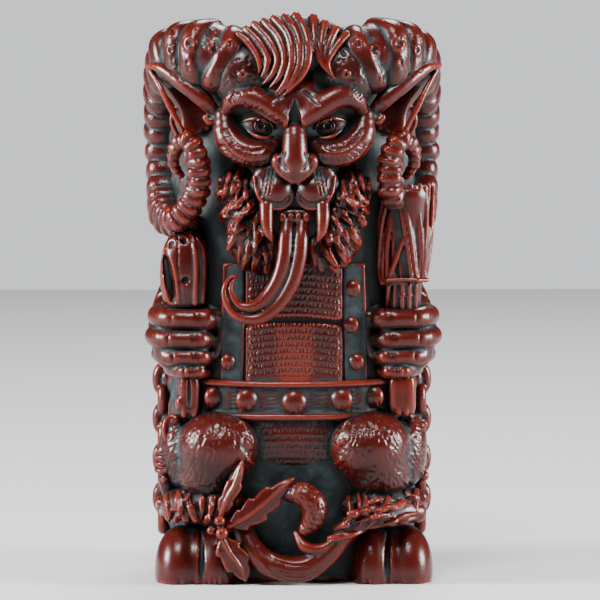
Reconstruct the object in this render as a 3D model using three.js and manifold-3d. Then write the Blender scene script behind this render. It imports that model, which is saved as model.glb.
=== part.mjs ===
// A ceramic figural mug: a hollow cup with sculpted relief pieces luted to its wall.
// Millimetres. +Z is up, -Y is the figure's front, and the origin is the centre of the foot.
import * as THREE from "three";
import { mergeVertices } from "three/addons/utils/BufferGeometryUtils.js";
import Module from "manifold-3d";

const wasm = await Module();
wasm.setup();

// ---------------------------------------------------------------- driving dimensions
const FIGURE_HEIGHT = 190; // foot to the crown of the forelock
const CROWN_RISE = 13; // how far the crown stands above the cup's lip
const HALF_WIDTH = 41; // cup wall, outside, across the figure
const HALF_DEPTH = 37; // cup wall, outside, front to back
const PLAN_POWER = 2.8; // squareness of the cup's plan: 2 is an ellipse
const WALL = 5; // cup wall thickness
const FLOOR = 7; // cup floor thickness
const FOOT_ROUND = 4; // rounding where the wall meets the foot
const PLAN_FACETS = 36; // flats round the cup
const SLIP_JOINT = 0.3; // layer of slip between two luted pieces

const HORN_ROOT = 12.5; // radius of a horn where it leaves the brow
const HORN_SIDE = 8.5; // radius beside the cheek
const HORN_CURL = 5.4; // radius of the curled end
const HORN_TIP = 1.6;
const EAR_RADIUS = 5.2;
const EYE_RADIUS = 5.2;
const BROW_RADIUS = 3.6;
const FANG_RADIUS = 2.1;
const TONGUE_RADIUS = 5;
const BEARD_RADIUS = 9.5;
const BELT_HEIGHT = 11.5;
const BELT_PROUD = 2.4; // how far the belt stands off the wall
const STUD_RADIUS = 4.3; // middle stud of the belt
const SMALL_STUD = 2.8; // studs on the harness straps
const STUD_PROUD = 2.5; // half the thickness of every stud
const STRAP_WIDTH = 6;
const STRAP_PROUD = 1.8;
const CHAIN_TOP = 68.6; // height of the chain's upper end
const LINK_PITCH = 6.75; // from one chain link to the next
const LINK_WIDTH = 8.4;
const LINK_WIRE = 1.6; // radius of a link's wire
const LINK_COUNT = 8;
const BERRY_RADIUS = 1.9;
const TAIL_RADIUS = 4;
const TWIG_RADIUS = 9.6; // birch bundle at its open end
const TWIG_NECK = 6.6; // birch bundle at its binding
const HANDLE_RADIUS = 4.6;
const PELT_PROUD = 2.2; // how far the mane and pelt stand off the back wall

const RIM_HEIGHT = FIGURE_HEIGHT - CROWN_RISE;

// ---------------------------------------------------------------- places on the figure
// The figure is laid out on a canon 190 high, 82 wide and 74 deep, then stretched to the cup.
const CANON_HEIGHT = 190;
const CANON_HALF_WIDTH = 41;
const CANON_HALF_DEPTH = 37;
const STRETCH = [HALF_WIDTH / CANON_HALF_WIDTH, HALF_DEPTH / CANON_HALF_DEPTH, FIGURE_HEIGHT / CANON_HEIGHT];
const up = (mm) => mm * STRETCH[2];
/** How far a shape on the canon grows so that it grows by `mm` or more once stretched. */
const swell = (mm) => mm / Math.min(...STRETCH);

/** Point on the canon at x across the front, height z, standing `proud` off the wall. */
function front(x, z, proud) {
  const share = Math.min(Math.abs(x) / CANON_HALF_WIDTH, 0.97);
  return [x, -CANON_HALF_DEPTH * (1 - share ** PLAN_POWER) ** (1 / PLAN_POWER) - proud, z];
}

/** Distance from the axis to a rounded-square plan at an angle, 0 being the front. */
function reach(angle, halfWidth, halfDepth) {
  const sine = Math.abs(Math.sin(angle)) / halfWidth;
  const cosine = Math.abs(Math.cos(angle)) / halfDepth;
  return (sine ** PLAN_POWER + cosine ** PLAN_POWER) ** (-1 / PLAN_POWER);
}

/** Point on the canon at an angle round the wall (90 is +X, 180 the back), height z, `proud` of it. */
function round(degrees, z, proud) {
  const angle = THREE.MathUtils.degToRad(degrees);
  const distance = reach(angle, CANON_HALF_WIDTH + proud, CANON_HALF_DEPTH + proud);
  return [distance * Math.sin(angle), -distance * Math.cos(angle), z];
}

// ---------------------------------------------------------------- shapes
/** The closed geometry as a manifold-3d solid. */
function solid(geometry) {
  const bare = geometry.clone();
  bare.deleteAttribute("normal");
  bare.deleteAttribute("uv");
  const merged = mergeVertices(bare, 1e-4);
  return new wasm.Manifold(
    new wasm.Mesh({
      numProp: 3,
      vertProperties: new Float32Array(merged.attributes.position.array),
      triVerts: new Uint32Array(merged.index.array),
    }),
  );
}

/** A rounded lump: an ellipsoid at power 2, boxier above it. `grow` swells it on every side. */
function lump(centre, radii, { grow = 0, power = 2, turn = [0, 0, 0], detail = 10 } = {}) {
  const geometry = new THREE.SphereGeometry(1, detail, Math.round(detail * 0.7));
  geometry.rotateX(Math.PI / 2);
  const position = geometry.attributes.position;
  const square = (v) => Math.sign(v) * Math.abs(v) ** (2 / power);
  for (let i = 0; i < position.count; i++) {
    const p = [position.getX(i), position.getY(i), position.getZ(i)].map((v) =>
      Math.abs(v) < 1e-9 ? 0 : square(v),
    );
    position.setXYZ(i, ...p.map((v, axis) => v * (radii[axis] + swell(grow))));
  }
  const euler = new THREE.Euler(...turn.map(THREE.MathUtils.degToRad));
  geometry.applyMatrix4(new THREE.Matrix4().makeRotationFromEuler(euler));
  geometry.translate(...centre);
  geometry.scale(...STRETCH);
  return solid(geometry);
}

/** A tapered rope along a smooth curve; `flat` thins it towards and away from the wall. */
function rope(points, radii, { grow = 0, flat = 1, sides = 8, steps = 10 } = {}) {
  const curve = new THREE.CatmullRomCurve3(points.map((p) => new THREE.Vector3(...p)));
  const geometry = new THREE.CylinderGeometry(1, 1, 1, sides, steps);
  const position = geometry.attributes.position;
  for (let i = 0; i < position.count; i++) {
    const t = position.getY(i) + 0.5;
    const at = curve.getPointAt(t);
    const along = curve.getTangentAt(t);
    const outward = new THREE.Vector3(at.x * 0.6, at.y, 0).normalize();
    outward.addScaledVector(along, -outward.dot(along)).normalize();
    const sideways = new THREE.Vector3().crossVectors(outward, along);
    const stretch = t * (radii.length - 1);
    const before = Math.min(Math.floor(stretch), radii.length - 2);
    const radius = THREE.MathUtils.lerp(radii[before], radii[before + 1], stretch - before);
    at.addScaledVector(outward, position.getX(i) * (radius * flat + swell(grow)));
    at.addScaledVector(sideways, position.getZ(i) * (radius + swell(grow)));
    if (t === 0) at.addScaledVector(along, -swell(grow));
    if (t === 1) at.addScaledVector(along, swell(grow));
    position.setXYZ(i, at.x, at.y, at.z);
  }
  geometry.scale(...STRETCH);
  return solid(geometry);
}

/** A band that hugs the wall between two angles and two heights, `proud` of it. */
function band(fromDegrees, toDegrees, low, high, proud, { grow = 0 } = {}) {
  const spread = THREE.MathUtils.radToDeg(grow / HALF_WIDTH);
  const first = fromDegrees - spread;
  const last = toDegrees + spread;
  const facet = 360 / PLAN_FACETS;
  const angles = [first];
  for (let k = Math.floor(first / facet) + 1; k * facet < last; k++) angles.push(k * facet);
  angles.push(last);
  const line = (off) => angles.map((degrees) => {
    const angle = THREE.MathUtils.degToRad(degrees);
    const distance = reach(angle, HALF_WIDTH + off, HALF_DEPTH + off);
    return new THREE.Vector2(distance * Math.sin(angle), -distance * Math.cos(angle));
  });
  const outline = new THREE.Shape([...line(proud + grow), ...line(-WALL / 2).reverse()]);
  const geometry = new THREE.ExtrudeGeometry(outline, { depth: high - low + 2 * grow, bevelEnabled: false });
  geometry.translate(0, 0, low - grow);
  return solid(geometry);
}

/** A pointed leaf, extruded and stood on the front wall, pointing `degrees` from straight up. */
function leaf(x, z, proud, length, width, thickness, degrees, { grow = 0 } = {}) {
  const outline = new THREE.Shape();
  const extra = swell(grow);
  const half = width / 2 + extra;
  const tip = length + 2 * extra;
  outline.moveTo(0, -extra);
  outline.quadraticCurveTo(half * 1.6, tip * 0.35, half * 0.55, tip * 0.7);
  outline.lineTo(0, tip);
  outline.lineTo(-half * 0.55, tip * 0.7);
  outline.quadraticCurveTo(-half * 1.6, tip * 0.35, 0, -extra);
  const geometry = new THREE.ExtrudeGeometry(outline, {
    depth: thickness + 2 * extra,
    bevelEnabled: false,
    curveSegments: 4,
  });
  geometry.translate(0, 0, -extra);
  geometry.rotateX(Math.PI / 2);
  geometry.rotateY(THREE.MathUtils.degToRad(degrees));
  geometry.translate(...front(x, z, proud));
  geometry.scale(...STRETCH);
  return solid(geometry);
}

/** Several solids as one. */
const join = (...solids) => solids.reduce((all, one) => all.add(one));

// ---------------------------------------------------------------- the cup
/** A turned solid on the cup's plan: each profile point is [inset from the wall, height]. */
function turned(profile, grow = 0) {
  const points = profile.map(([inset, z]) => new THREE.Vector2(inset === null ? 0 : HALF_WIDTH - inset, z));
  const geometry = new THREE.LatheGeometry(points, PLAN_FACETS);
  const position = geometry.attributes.position;
  for (let i = 0; i < position.count; i++) {
    const distance = Math.hypot(position.getX(i), position.getZ(i));
    const angle = Math.atan2(position.getX(i), -position.getZ(i));
    const off = grow + distance - HALF_WIDTH;
    const radius = distance < 1e-6 ? 0 : reach(angle, HALF_WIDTH + off, HALF_DEPTH + off);
    position.setXYZ(i, radius * Math.sin(angle), -radius * Math.cos(angle), position.getY(i));
  }
  const made = solid(geometry);
  if (made.volume() > 0) return made;
  const index = geometry.index.array;
  for (let i = 0; i < index.length; i += 3) [index[i + 1], index[i + 2]] = [index[i + 2], index[i + 1]];
  return solid(geometry);
}

/** The outside of the cup as a solid block. */
const cupBlock = (grow) => turned(
  [[null, -grow], [FOOT_ROUND, -grow], [FOOT_ROUND * 0.3, FOOT_ROUND * 0.3 - grow], [0, FOOT_ROUND],
    [0, RIM_HEIGHT + grow], [null, RIM_HEIGHT + grow]], grow);

/** The room inside the cup, open well past the rim. */
function cupHollow() {
  const top = FIGURE_HEIGHT + WALL;
  return turned([[null, FLOOR], [2 * WALL, FLOOR], [WALL, FLOOR + WALL], [WALL, top], [null, top]]);
}

/** Everything above the bench that the mug stands on. */
function aboveBench() {
  const span = 4 * HALF_WIDTH;
  const geometry = new THREE.BoxGeometry(span, span, 2 * FIGURE_HEIGHT);
  geometry.translate(0, 0, FIGURE_HEIGHT);
  return solid(geometry);
}

// ---------------------------------------------------------------- the relief pieces
// Each entry is a name, a finish and a function of `grow`. Earlier pieces keep their
// shape, and later ones are cut back round them with the slip joint between.
const pieces = [];
const piece = (name, finish, make) => pieces.push({ name, finish, make });
const sides = [["left", -1], ["right", 1]];

// Studs of the belt and of the harness straps.
piece("belt_stud_middle", "red", (grow) =>
  lump(front(0, 60.6, BELT_PROUD), [STUD_RADIUS, STUD_PROUD, STUD_RADIUS], { grow, detail: 8 }));
for (const [hand, s] of sides) {
  piece(`belt_stud_${hand}`, "red", (grow) =>
    lump(front(s * 15.6, 61.4, BELT_PROUD), [STUD_RADIUS * 0.9, STUD_PROUD, STUD_RADIUS * 0.93],
      { grow, detail: 8, turn: [0, 0, s * 8] }));
  piece(`belt_stud_outer_${hand}`, "red", (grow) =>
    lump(front(s * 26.4, 62, BELT_PROUD), [STUD_RADIUS * 0.85, STUD_PROUD, STUD_RADIUS * 0.9],
      { grow, detail: 8, turn: [0, 0, s * 24] }));
}
const strapStuds = [
  ["strap_stud_upper", 19.4, 98.6], ["strap_stud_middle", 18.8, 86.4], ["strap_stud_lower", 20.6, 74],
  ["strap_stud_left", -21.8, 74],
];
for (const [name, x, z] of strapStuds)
  piece(name, "red", (grow) =>
    lump(front(x, z, STRAP_PROUD), [SMALL_STUD, STUD_PROUD, SMALL_STUD * 1.05],
      { grow, detail: 8, turn: [0, 0, Math.sign(x) * 16] }));

// Features of the face.
for (const [hand, s] of sides) {
  piece(`eye_${hand}`, "red", (grow) =>
    lump(front(s * 12.7, 152.8, 3.4), [EYE_RADIUS, 3.8, EYE_RADIUS * 0.82], { grow, detail: 8 }));
  piece(`fang_${hand}`, "red", (grow) =>
    rope([front(s * 9.4, 127, 9), front(s * 9.9, 122.5, 10.4), front(s * 8.7, 117.6, 10)],
      [FANG_RADIUS, FANG_RADIUS * 0.8, 0.4], { grow, steps: 3, sides: 6 }));
}
piece("upper_teeth", "red", (grow) =>
  lump(front(0, 122.6, 7.4), [5.2, 1.6, 2.1], { grow, power: 4, detail: 8 }));
piece("nose", "red", (grow) => join(
  rope([front(0, 153.4, 8.2), front(0, 144, 11.4), front(0, 136, 10)], [3.8, 4.2, 3],
    { grow, steps: 4, sides: 6 }),
  lump(front(0, 141, 8.4), [7.4, 4, 4], { grow, detail: 8 })));
piece("tongue", "red", (grow) => rope(
  [[0.7, 123, 7], [0.8, 113, 10.6], [-1.2, 102, 11.4], [-6.4, 93.6, 11.4], [-14, 90.6, 10.6],
    [-20.2, 94.4, 10], [-21.8, 99.6, 9.4], [-19.8, 102.6, 9]].map((p) => front(...p)),
  [1, 1, 1, 1, 0.94, 0.66, 0.24].map((share) => TONGUE_RADIUS * share),
  { grow, flat: 0.56, steps: 12, sides: 6 }));
piece("muzzle", "red", (grow) => join(...sides.map(([, s]) =>
  lump(front(s * 7.6, 130.6, 5.6), [8, 5.4, 9], { grow, detail: 8, turn: [0, s * 16, 0] }))));
piece("brow", "red", (grow) => rope(
  [[-22.5, 157.4, 2.4], [-15.5, 163.6, 4], [-7, 158.2, 5.4], [0, 154.8, 5.4], [7, 158.2, 5.4],
    [15.5, 163.6, 4], [22.5, 157.4, 2.4]].map((p) => front(...p)),
  [0.75, 1, 1, 0.85, 1, 1, 0.75].map((share) => BROW_RADIUS * share), { grow, steps: 12, sides: 6 }));
piece("forelock", "red", (grow) => join(
  lump([0, -31, 178.4], [20.4, 12, 11.6], { grow, power: 2.3 }),
  rope([[3, 180, 5], [3.4, 172, 8.4], [-1, 166.6, 8], [-5.2, 164.4, 7.4]].map((p) => front(...p)),
    [5, 5, 3, 0.6], { grow, steps: 5, flat: 0.7, sides: 6 })));

// What the hands hold, and the hands with their forearms.
piece("strap_loop", "red", (grow) => rope(
  [[-36.4, 119, 5.4], [-36.8, 112, 8], [-36.8, 101, 8.4], [-36.4, 91.6, 7]].map((p) => front(...p)),
  [3, 7.6, 8, 5.4], { grow, steps: 6, flat: 0.72 }));
piece("strap_end", "red", (grow) => rope(
  [front(-33.6, 68, 6), front(-33, 62, 6.4), front(-32.6, 55, 6.4)], [4.8, 4.4, 4.2],
  { grow, steps: 2, flat: 0.8 }));
piece("birch_bundle", "red", (grow) => rope(
  [[35.6, 91.6, 7.4], [36.2, 104, 7.6], [36.6, 118, 7], [36.8, 133, 6.4]].map((p) => front(...p)),
  [TWIG_NECK, TWIG_NECK * 1.2, TWIG_RADIUS, TWIG_RADIUS], { grow, steps: 4, flat: 0.8, sides: 10 }));
piece("birch_handle", "red", (grow) => rope(
  [front(35, 68, 6.2), front(34.8, 62, 6.2), front(34.6, 55.2, 6.2)],
  [HANDLE_RADIUS, HANDLE_RADIUS, HANDLE_RADIUS * 0.95], { grow, steps: 2 }));
for (const [hand, s] of sides)
  piece(`hand_${hand}`, "red", (grow) => join(
    lump(front(s * 36.4, 80, 5.6), [12, 9.6, 11.8], { grow, power: 3, turn: [0, 0, s * 14] }),
    rope([round(s * 62, 82, 1.6), round(s * 80, 92, 0.4), round(s * 94, 104, -0.6)], [7, 7.6, 7],
      { grow, steps: 4 })));

// The holly sprig, the tail and the bell at the feet.
piece("holly_berries", "red", (grow) => join(
  ...[[-25.2, 21.8, 1], [-23.4, 18.2, 1.05], [-27.6, 17.8, 0.72]].map(([x, z, share]) =>
    lump(front(x, z, 15), Array(3).fill(BERRY_RADIUS * share), { grow, detail: 8 })),
  lump(front(-25.4, 19.2, 13.6), [2.6, 2, 2.6], { grow, detail: 6 })));
piece("holly_leaf_long", "red", (grow) => leaf(-23.4, 20, 12.6, 30, 9, 3.6, 49, { grow }));
piece("holly_leaf_low", "red", (grow) => leaf(-24, 17.2, 13.6, 15.6, 9.6, 3.6, 151, { grow }));
piece("holly_leaf_high", "red", (grow) => leaf(-24.4, 23, 13, 20, 6.4, 3.4, 23, { grow }));
piece("tail", "red", (grow) => rope(
  [[-19.5, 17.6, 6], [-16.4, 9.4, 8], [-8.4, 4.7, 9], [1.6, 4.4, 9.2], [11.4, 7.6, 9], [18.4, 13.6, 9.6],
    [26, 21.4, 10.6], [34, 25.4, 11.4], [39.4, 24.4, 11]].map((p) => front(...p)),
  [0.8, 1, 1, 1, 1, 1, 1.1, 1.3, 0.9].map((share) => TAIL_RADIUS * share),
  { grow, steps: 16, sides: 6 }));
piece("tail_tuft", "red", (grow) => rope(
  [[-2.4, 31, 4], [4.6, 29.6, 7], [5.6, 22.6, 8], [1, 15.6, 7.4]].map((p) => front(...p)),
  [3.6, 5.6, 5, 2.6], { grow, steps: 6, sides: 6 }));
piece("bell", "red", (grow) => rope(
  [round(-55, 52, 5), round(-56.5, 43, 6), round(-57, 33, 6.4), round(-57, 24.4, 6.4)], [2.2, 3.2, 4, 4.8],
  { grow, steps: 3, sides: 6 }));

// Legs and feet.
for (const [hand, s] of sides) {
  piece(`knee_${hand}`, "red", (grow) => join(
    lump(front(s * 26.4, 42.8, 4), [13.4, 12, 14.6], { grow, turn: [0, 0, s * 14] }),
    lump(round(s * 58, 41.6, -0.6), [11, 8.4, 14.2], { grow, turn: [0, 0, s * 50] })));
  piece(`hoof_${hand}`, "red", (grow) =>
    lump(front(s * 29.4, 12.8, -3), [15.4, 17.6, 14.2], { grow, power: 2.5, turn: [0, 0, s * 10] }));
  piece(`fetlock_${hand}`, "red", (grow) =>
    lump(front(s * 31, 26.6, -2), [14.6, 14.6, 5.6], { grow, power: 2.4, turn: [0, 0, s * 16] }));
}

// Clothing on the trunk.
const beltMiddle = up(61.7);
const beltTop = beltMiddle + BELT_HEIGHT / 2;
piece("belt", "washed", (grow) => band(-43, 43, beltMiddle - BELT_HEIGHT / 2, beltTop, BELT_PROUD, { grow }));
for (const [hand, x, top] of [["left", -22, 96], ["right", 18.2, 108]]) {
  const edge = (offset) => {
    const [px, py] = front(x, 0, 0);
    return THREE.MathUtils.radToDeg(Math.atan2(px * STRETCH[0] + offset, -py * STRETCH[1]));
  };
  const half = STRAP_WIDTH / 2;
  piece(`harness_strap_${hand}`, "washed", (grow) =>
    band(edge(-half), edge(half), beltTop + SLIP_JOINT, up(top), STRAP_PROUD, { grow }));
}
piece("tunic", "red", (grow) =>
  lump(front(-2.4, 85.2, -1.6), [16.4, 5.2, 22.6], { grow, power: 4, turn: [0, 0, -2] }));
piece("loin_pelt", "red", (grow) =>
  lump(front(0, 44, -2), [14.5, 5, 13.4], { grow, power: 3 }));

// Head.
for (const [hand, s] of sides) {
  piece(`ear_${hand}`, "red", (grow) => rope(
    [[26.5, 153.4, 4], [33, 158, 8.6], [40, 165, 11], [46.5, 171.6, 9]]
      .map(([x, ...p]) => front(s * x, ...p)),
    [EAR_RADIUS * 0.7, EAR_RADIUS, EAR_RADIUS * 0.8, 0.8], { grow, steps: 5, flat: 0.7 }));
  piece(`horn_curl_${hand}`, "red", (grow) => rope(
    [[29, 119.4, 0.6], [23.4, 127, 3], [23, 137.4, 3.2], [26.2, 145.4, 3], [31.2, 146.4, 3], [34.2, 140, 3.6],
      [32.6, 132.6, 2.6]].map(([x, z, proud]) => front(s * (x + HORN_CURL), z, proud + HORN_CURL)),
    [HORN_CURL, HORN_CURL, HORN_CURL, HORN_CURL * 0.8, HORN_CURL * 0.5, HORN_TIP, HORN_TIP * 0.6],
    { grow, steps: 12, sides: 8 }));
  piece(`horn_${hand}`, "red", (grow) => rope(
    [front(s * 17, 175, -2), round(s * 42, 176.4, -0.6), round(s * 60, 174, -0.6), round(s * 78, 163, 0.2),
      round(s * 87, 148, 0.4), round(s * 83, 133, 0.6), round(s * 68, 122, 1.6),
      front(s * 34, 120, HORN_CURL)],
    [HORN_ROOT * 0.86, HORN_ROOT, HORN_ROOT * 0.9, HORN_SIDE, HORN_SIDE * 0.94, HORN_SIDE * 0.84,
      HORN_SIDE * 0.75, HORN_CURL],
    { grow, steps: 14, sides: 10 }));
}
for (const [hand, s] of sides)
  piece(`beard_${hand}`, "red", (grow) => rope(
    [[24.5, 141, 2], [21, 126, 3.6], [14, 112, 5], [5.2, 99, 4]].map(([x, ...p]) => front(s * x, ...p)),
    [BEARD_RADIUS * 0.7, BEARD_RADIUS, BEARD_RADIUS, BEARD_RADIUS * 0.5], { grow, steps: 6, flat: 0.62 }));
piece("face", "red", (grow) => lump(front(0, 147, -6), [28.4, 12.6, 32], { grow, power: 2.8 }));

// Round the sides and the back: the chains, and the mane and pelt on the back wall.
for (const [hand, s] of sides)
  piece(`chain_${hand}`, "red", (grow) => {
    const stops = Array.from({ length: 2 * LINK_COUNT + 1 }, (_, i) => i);
    const places = stops.map((i) => round(s * 88, CHAIN_TOP - (i * LINK_PITCH) / 2, 1.4));
    const radii = stops.map((i) => (i % 2 ? LINK_WIDTH / 2 : LINK_WIDTH / 2 - LINK_WIRE));
    return rope(places, radii, { grow, steps: 2 * LINK_COUNT, sides: 6 });
  });
piece("back_mane", "red", (grow) => join(
  band(112, 248, up(104), up(171), PELT_PROUD, { grow }),
  lump(round(212, 173, -0.6), [7, 5, 7.6], { grow, detail: 8, turn: [0, 0, 32] })));
piece("back_pelt", "red", (grow) => band(108, 252, up(14), up(101), PELT_PROUD, { grow }));

// ---------------------------------------------------------------- assembly
const finishes = {
  red: { color: 0x8a3a2b, roughness: 0.42, metalness: 0 },
  washed: { color: 0x3c5058, roughness: 0.5, metalness: 0 },
};
const materials = Object.fromEntries(
  Object.entries(finishes).map(([name, finish]) => [name, new THREE.MeshStandardMaterial(finish)]),
);
const mug = new THREE.Group();

function place(name, finish, made) {
  const mesh = made.getMesh();
  const geometry = new THREE.BufferGeometry();
  geometry.setAttribute("position", new THREE.BufferAttribute(new Float32Array(mesh.vertProperties), 3));
  geometry.setIndex(new THREE.BufferAttribute(new Uint32Array(mesh.triVerts), 1));
  const node = new THREE.Mesh(geometry, materials[finish]);
  node.name = name;
  mug.add(node);
}

/** True if two solids' boxes meet. */
function near(a, b) {
  const boxA = a.boundingBox();
  const boxB = b.boundingBox();
  return [0, 1, 2].every((axis) => boxA.min[axis] < boxB.max[axis] && boxB.min[axis] < boxA.max[axis]);
}

place("cup", "washed", cupBlock(0).subtract(cupHollow()));
const wall = cupBlock(SLIP_JOINT).add(cupHollow());
const bench = aboveBench();
const kept = [];
for (const { name, finish, make } of pieces) {
  let made = make(0).intersect(bench).subtract(wall);
  for (const other of kept) if (near(made, other)) made = made.subtract(other);
  place(name, finish, made);
  kept.push(make(SLIP_JOINT));
}

export default mug;
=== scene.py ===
import math

import bpy
import numpy as np
import openvdb
from mathutils import Euler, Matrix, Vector


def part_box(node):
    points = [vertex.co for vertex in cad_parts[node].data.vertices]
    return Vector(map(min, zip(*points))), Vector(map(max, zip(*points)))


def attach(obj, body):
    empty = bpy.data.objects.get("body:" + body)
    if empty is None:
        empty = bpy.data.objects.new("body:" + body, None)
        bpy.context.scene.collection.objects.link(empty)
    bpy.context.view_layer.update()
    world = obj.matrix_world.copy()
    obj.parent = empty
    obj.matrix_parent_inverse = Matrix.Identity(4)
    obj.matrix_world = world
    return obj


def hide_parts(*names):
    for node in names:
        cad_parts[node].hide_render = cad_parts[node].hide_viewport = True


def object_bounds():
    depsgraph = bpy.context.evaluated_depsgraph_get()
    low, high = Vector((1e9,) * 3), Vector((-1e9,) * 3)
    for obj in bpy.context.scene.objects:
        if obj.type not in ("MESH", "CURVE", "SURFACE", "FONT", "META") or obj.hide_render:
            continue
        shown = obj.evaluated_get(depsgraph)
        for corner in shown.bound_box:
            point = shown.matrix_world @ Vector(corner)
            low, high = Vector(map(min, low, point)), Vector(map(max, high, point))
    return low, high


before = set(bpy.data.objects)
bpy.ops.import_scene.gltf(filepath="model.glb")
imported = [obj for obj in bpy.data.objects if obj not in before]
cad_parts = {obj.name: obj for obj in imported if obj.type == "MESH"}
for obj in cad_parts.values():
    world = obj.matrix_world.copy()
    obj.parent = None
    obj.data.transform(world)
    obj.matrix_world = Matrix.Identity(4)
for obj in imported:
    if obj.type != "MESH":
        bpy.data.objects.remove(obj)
cad_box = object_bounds()

# A fired ceramic mug in the form of a horned folklore beast, in a red glaze wiped back over a dark
# wash. Lengths are in metres where Blender takes them, and in mm where clay is shaped.

# ---------------------------------------------------------------- the room
# A pale paper floor, two broad soft lamps at the sides, two more above and behind, and the camera a
# little above the mug's middle. It stands a long way off, so that near and far parts keep one scale.
TALL = cad_box[1][2] - cad_box[0][2]
CAMERA_AWAY = 3.2
CAMERA_RISE = math.radians(5.0)
CAMERA_SWING = math.radians(1.3)
FRAME_SHARE = 0.938  # share of the frame's height that the mug fills

floor_mesh = bpy.data.meshes.new("paper_floor")
SPAN = 1.1
FLOOR_CORNERS = [(-SPAN, -SPAN, 0), (SPAN, -SPAN, 0), (SPAN, SPAN, 0), (-SPAN, SPAN, 0)]
floor_mesh.from_pydata(FLOOR_CORNERS, [], [(0, 1, 2, 3)])
paper_floor = bpy.data.objects.new("paper_floor", floor_mesh)
bpy.context.collection.objects.link(paper_floor)
paper = bpy.data.materials.new("pale paper")
paper.use_nodes = True
paper.node_tree.nodes["Principled BSDF"].inputs["Base Color"].default_value = (0.5, 0.5, 0.5, 1)
paper.node_tree.nodes["Principled BSDF"].inputs["Roughness"].default_value = 0.9
floor_mesh.materials.append(paper)


class Wet:
    """A number or colour of a glaze or of the room's light. Sums on numbers add Math nodes."""

    def __init__(self, tree, socket=None):
        self.tree = tree
        self.socket = socket

    def node(self, kind, settings=None, sockets=None, out=0):
        """Any node: its type, its settings, the values or links of its sockets, and the output wanted."""
        made = self.tree.nodes.new(kind)
        for name, value in (settings or {}).items():
            setattr(made, name, value)
        for name, value in (sockets or {}).items():
            if isinstance(value, Wet):
                self.tree.links.new(value.socket, made.inputs[name])
            else:
                made.inputs[name].default_value = value
        return Wet(self.tree, made.outputs[out])

    def sum(self, operation, *values):
        return self.node("ShaderNodeMath", {"operation": operation}, dict(enumerate(values)))

    def __add__(self, other):
        return self.sum("ADD", self, other)

    def __sub__(self, other):
        return self.sum("SUBTRACT", self, other)

    def __rsub__(self, other):
        return self.sum("SUBTRACT", other, self)

    def __mul__(self, other):
        return self.sum("MULTIPLY", self, other)

    __radd__ = __add__
    __rmul__ = __mul__

    def within(self, low, high):
        """0 below low, 1 above high, smooth between."""
        return self.node("ShaderNodeMapRange", {"interpolation_type": "SMOOTHSTEP"},
                         {"Value": self, "From Min": low, "From Max": high})

    def ramped(self, first, last, start, end):
        """`start` below first, `end` above last, and a straight line between."""
        return self.node("ShaderNodeMapRange", {}, {"Value": self, "From Min": first, "From Max": last,
                                                    "To Min": start, "To Max": end})

    def noise(self, scale, detail):
        """Noise over the piece, `scale` to the metre."""
        place = self.node("ShaderNodeTexCoord", out="Object")
        return self.node("ShaderNodeTexNoise", {}, {"Vector": place, "Scale": scale, "Detail": detail,
                                                    "Roughness": 0.6})

    def stir(self, mask, under, over):
        """One colour over another where the mask is 1."""
        return self.node("ShaderNodeMix", {"data_type": "RGBA"}, {0: mask, 6: under, 7: over}, out=2)


world = bpy.data.worlds.new("white room")
world.use_nodes = True
background = world.node_tree.nodes["Background"]
background.inputs["Color"].default_value = (0.95, 0.97, 1, 1)
sky = Wet(world.node_tree)
way = sky.node("ShaderNodeTexCoord", out="Generated")
upward = sky.node("ShaderNodeSeparateXYZ", {}, {0: way}, out="Z").ramped(-0.03, 0.03, 0.95, 0.09)
backward = sky.node("ShaderNodeSeparateXYZ", {}, {0: way}, out="Y").ramped(-0.2, 0.2, 0.22, 1.0)
world.node_tree.links.new((upward * backward).socket, background.inputs["Strength"])
bpy.context.scene.world = world


def lamp(name, place, size, watts):
    """A soft square lamp that looks at the middle of the mug."""
    light = bpy.data.lights.new(name, "AREA")
    light.size = size
    light.energy = watts
    holder = bpy.data.objects.new(name, light)
    bpy.context.collection.objects.link(holder)
    holder.location = place
    look = Vector((0, 0, TALL / 2)) - Vector(place)
    holder.rotation_euler = look.to_track_quat("-Z", "Y").to_euler()


lamp("left window", (-0.95, -0.22, 0.4), 0.36, 36)
lamp("right window", (0.95, -0.18, 0.3), 0.36, 30)
lamp("top lamp", (-0.12, -0.5, 0.85), 0.24, 9)
lamp("back lamp", (0.15, 0.75, 1.0), 0.45, 15)

camera = bpy.data.objects.new("camera", bpy.data.cameras.new("camera"))
bpy.context.collection.objects.link(camera)
aim = Vector((0.0028, 0, TALL * 0.5 - 0.0034))
away = Vector((-math.sin(CAMERA_SWING) * math.cos(CAMERA_RISE),
               -math.cos(CAMERA_SWING) * math.cos(CAMERA_RISE), math.sin(CAMERA_RISE)))
camera.location = aim + away * CAMERA_AWAY
camera.rotation_euler = (-away).to_track_quat("-Z", "Y").to_euler()
camera.data.sensor_width = 36
camera.data.lens = 36 * FRAME_SHARE * CAMERA_AWAY / TALL
bpy.context.scene.camera = camera

# ---------------------------------------------------------------- the cup
# A slip-cast stoneware cup, square with round corners: wall, floor and a flat foot. It carries
# every sculpted piece. Inside it is plain, outside it is worked over with the modelling tool.
AIR = 6.0  # distance written where there is no clay near


def corners(node):
    """Lowest and highest corner of a CAD node's box, in mm."""
    return [np.array(corner) * 1000 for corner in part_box(node)]


HALF_WIDTH, HALF_DEPTH, RIM = corners("cup")[1]
SQUARENESS = 2.8
WALL = 5.0
FLOOR = 7.0
CROWN = cad_box[1][2] * 1000


def reach(angle, off):
    """Distance from the mug's axis to its wall at an angle, 0 being the front, and `off` out from it."""
    sine = np.abs(np.sin(angle)) / (HALF_WIDTH + off)
    cosine = np.abs(np.cos(angle)) / (HALF_DEPTH + off)
    return (sine**SQUARENESS + cosine**SQUARENESS) ** (-1 / SQUARENESS)


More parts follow.
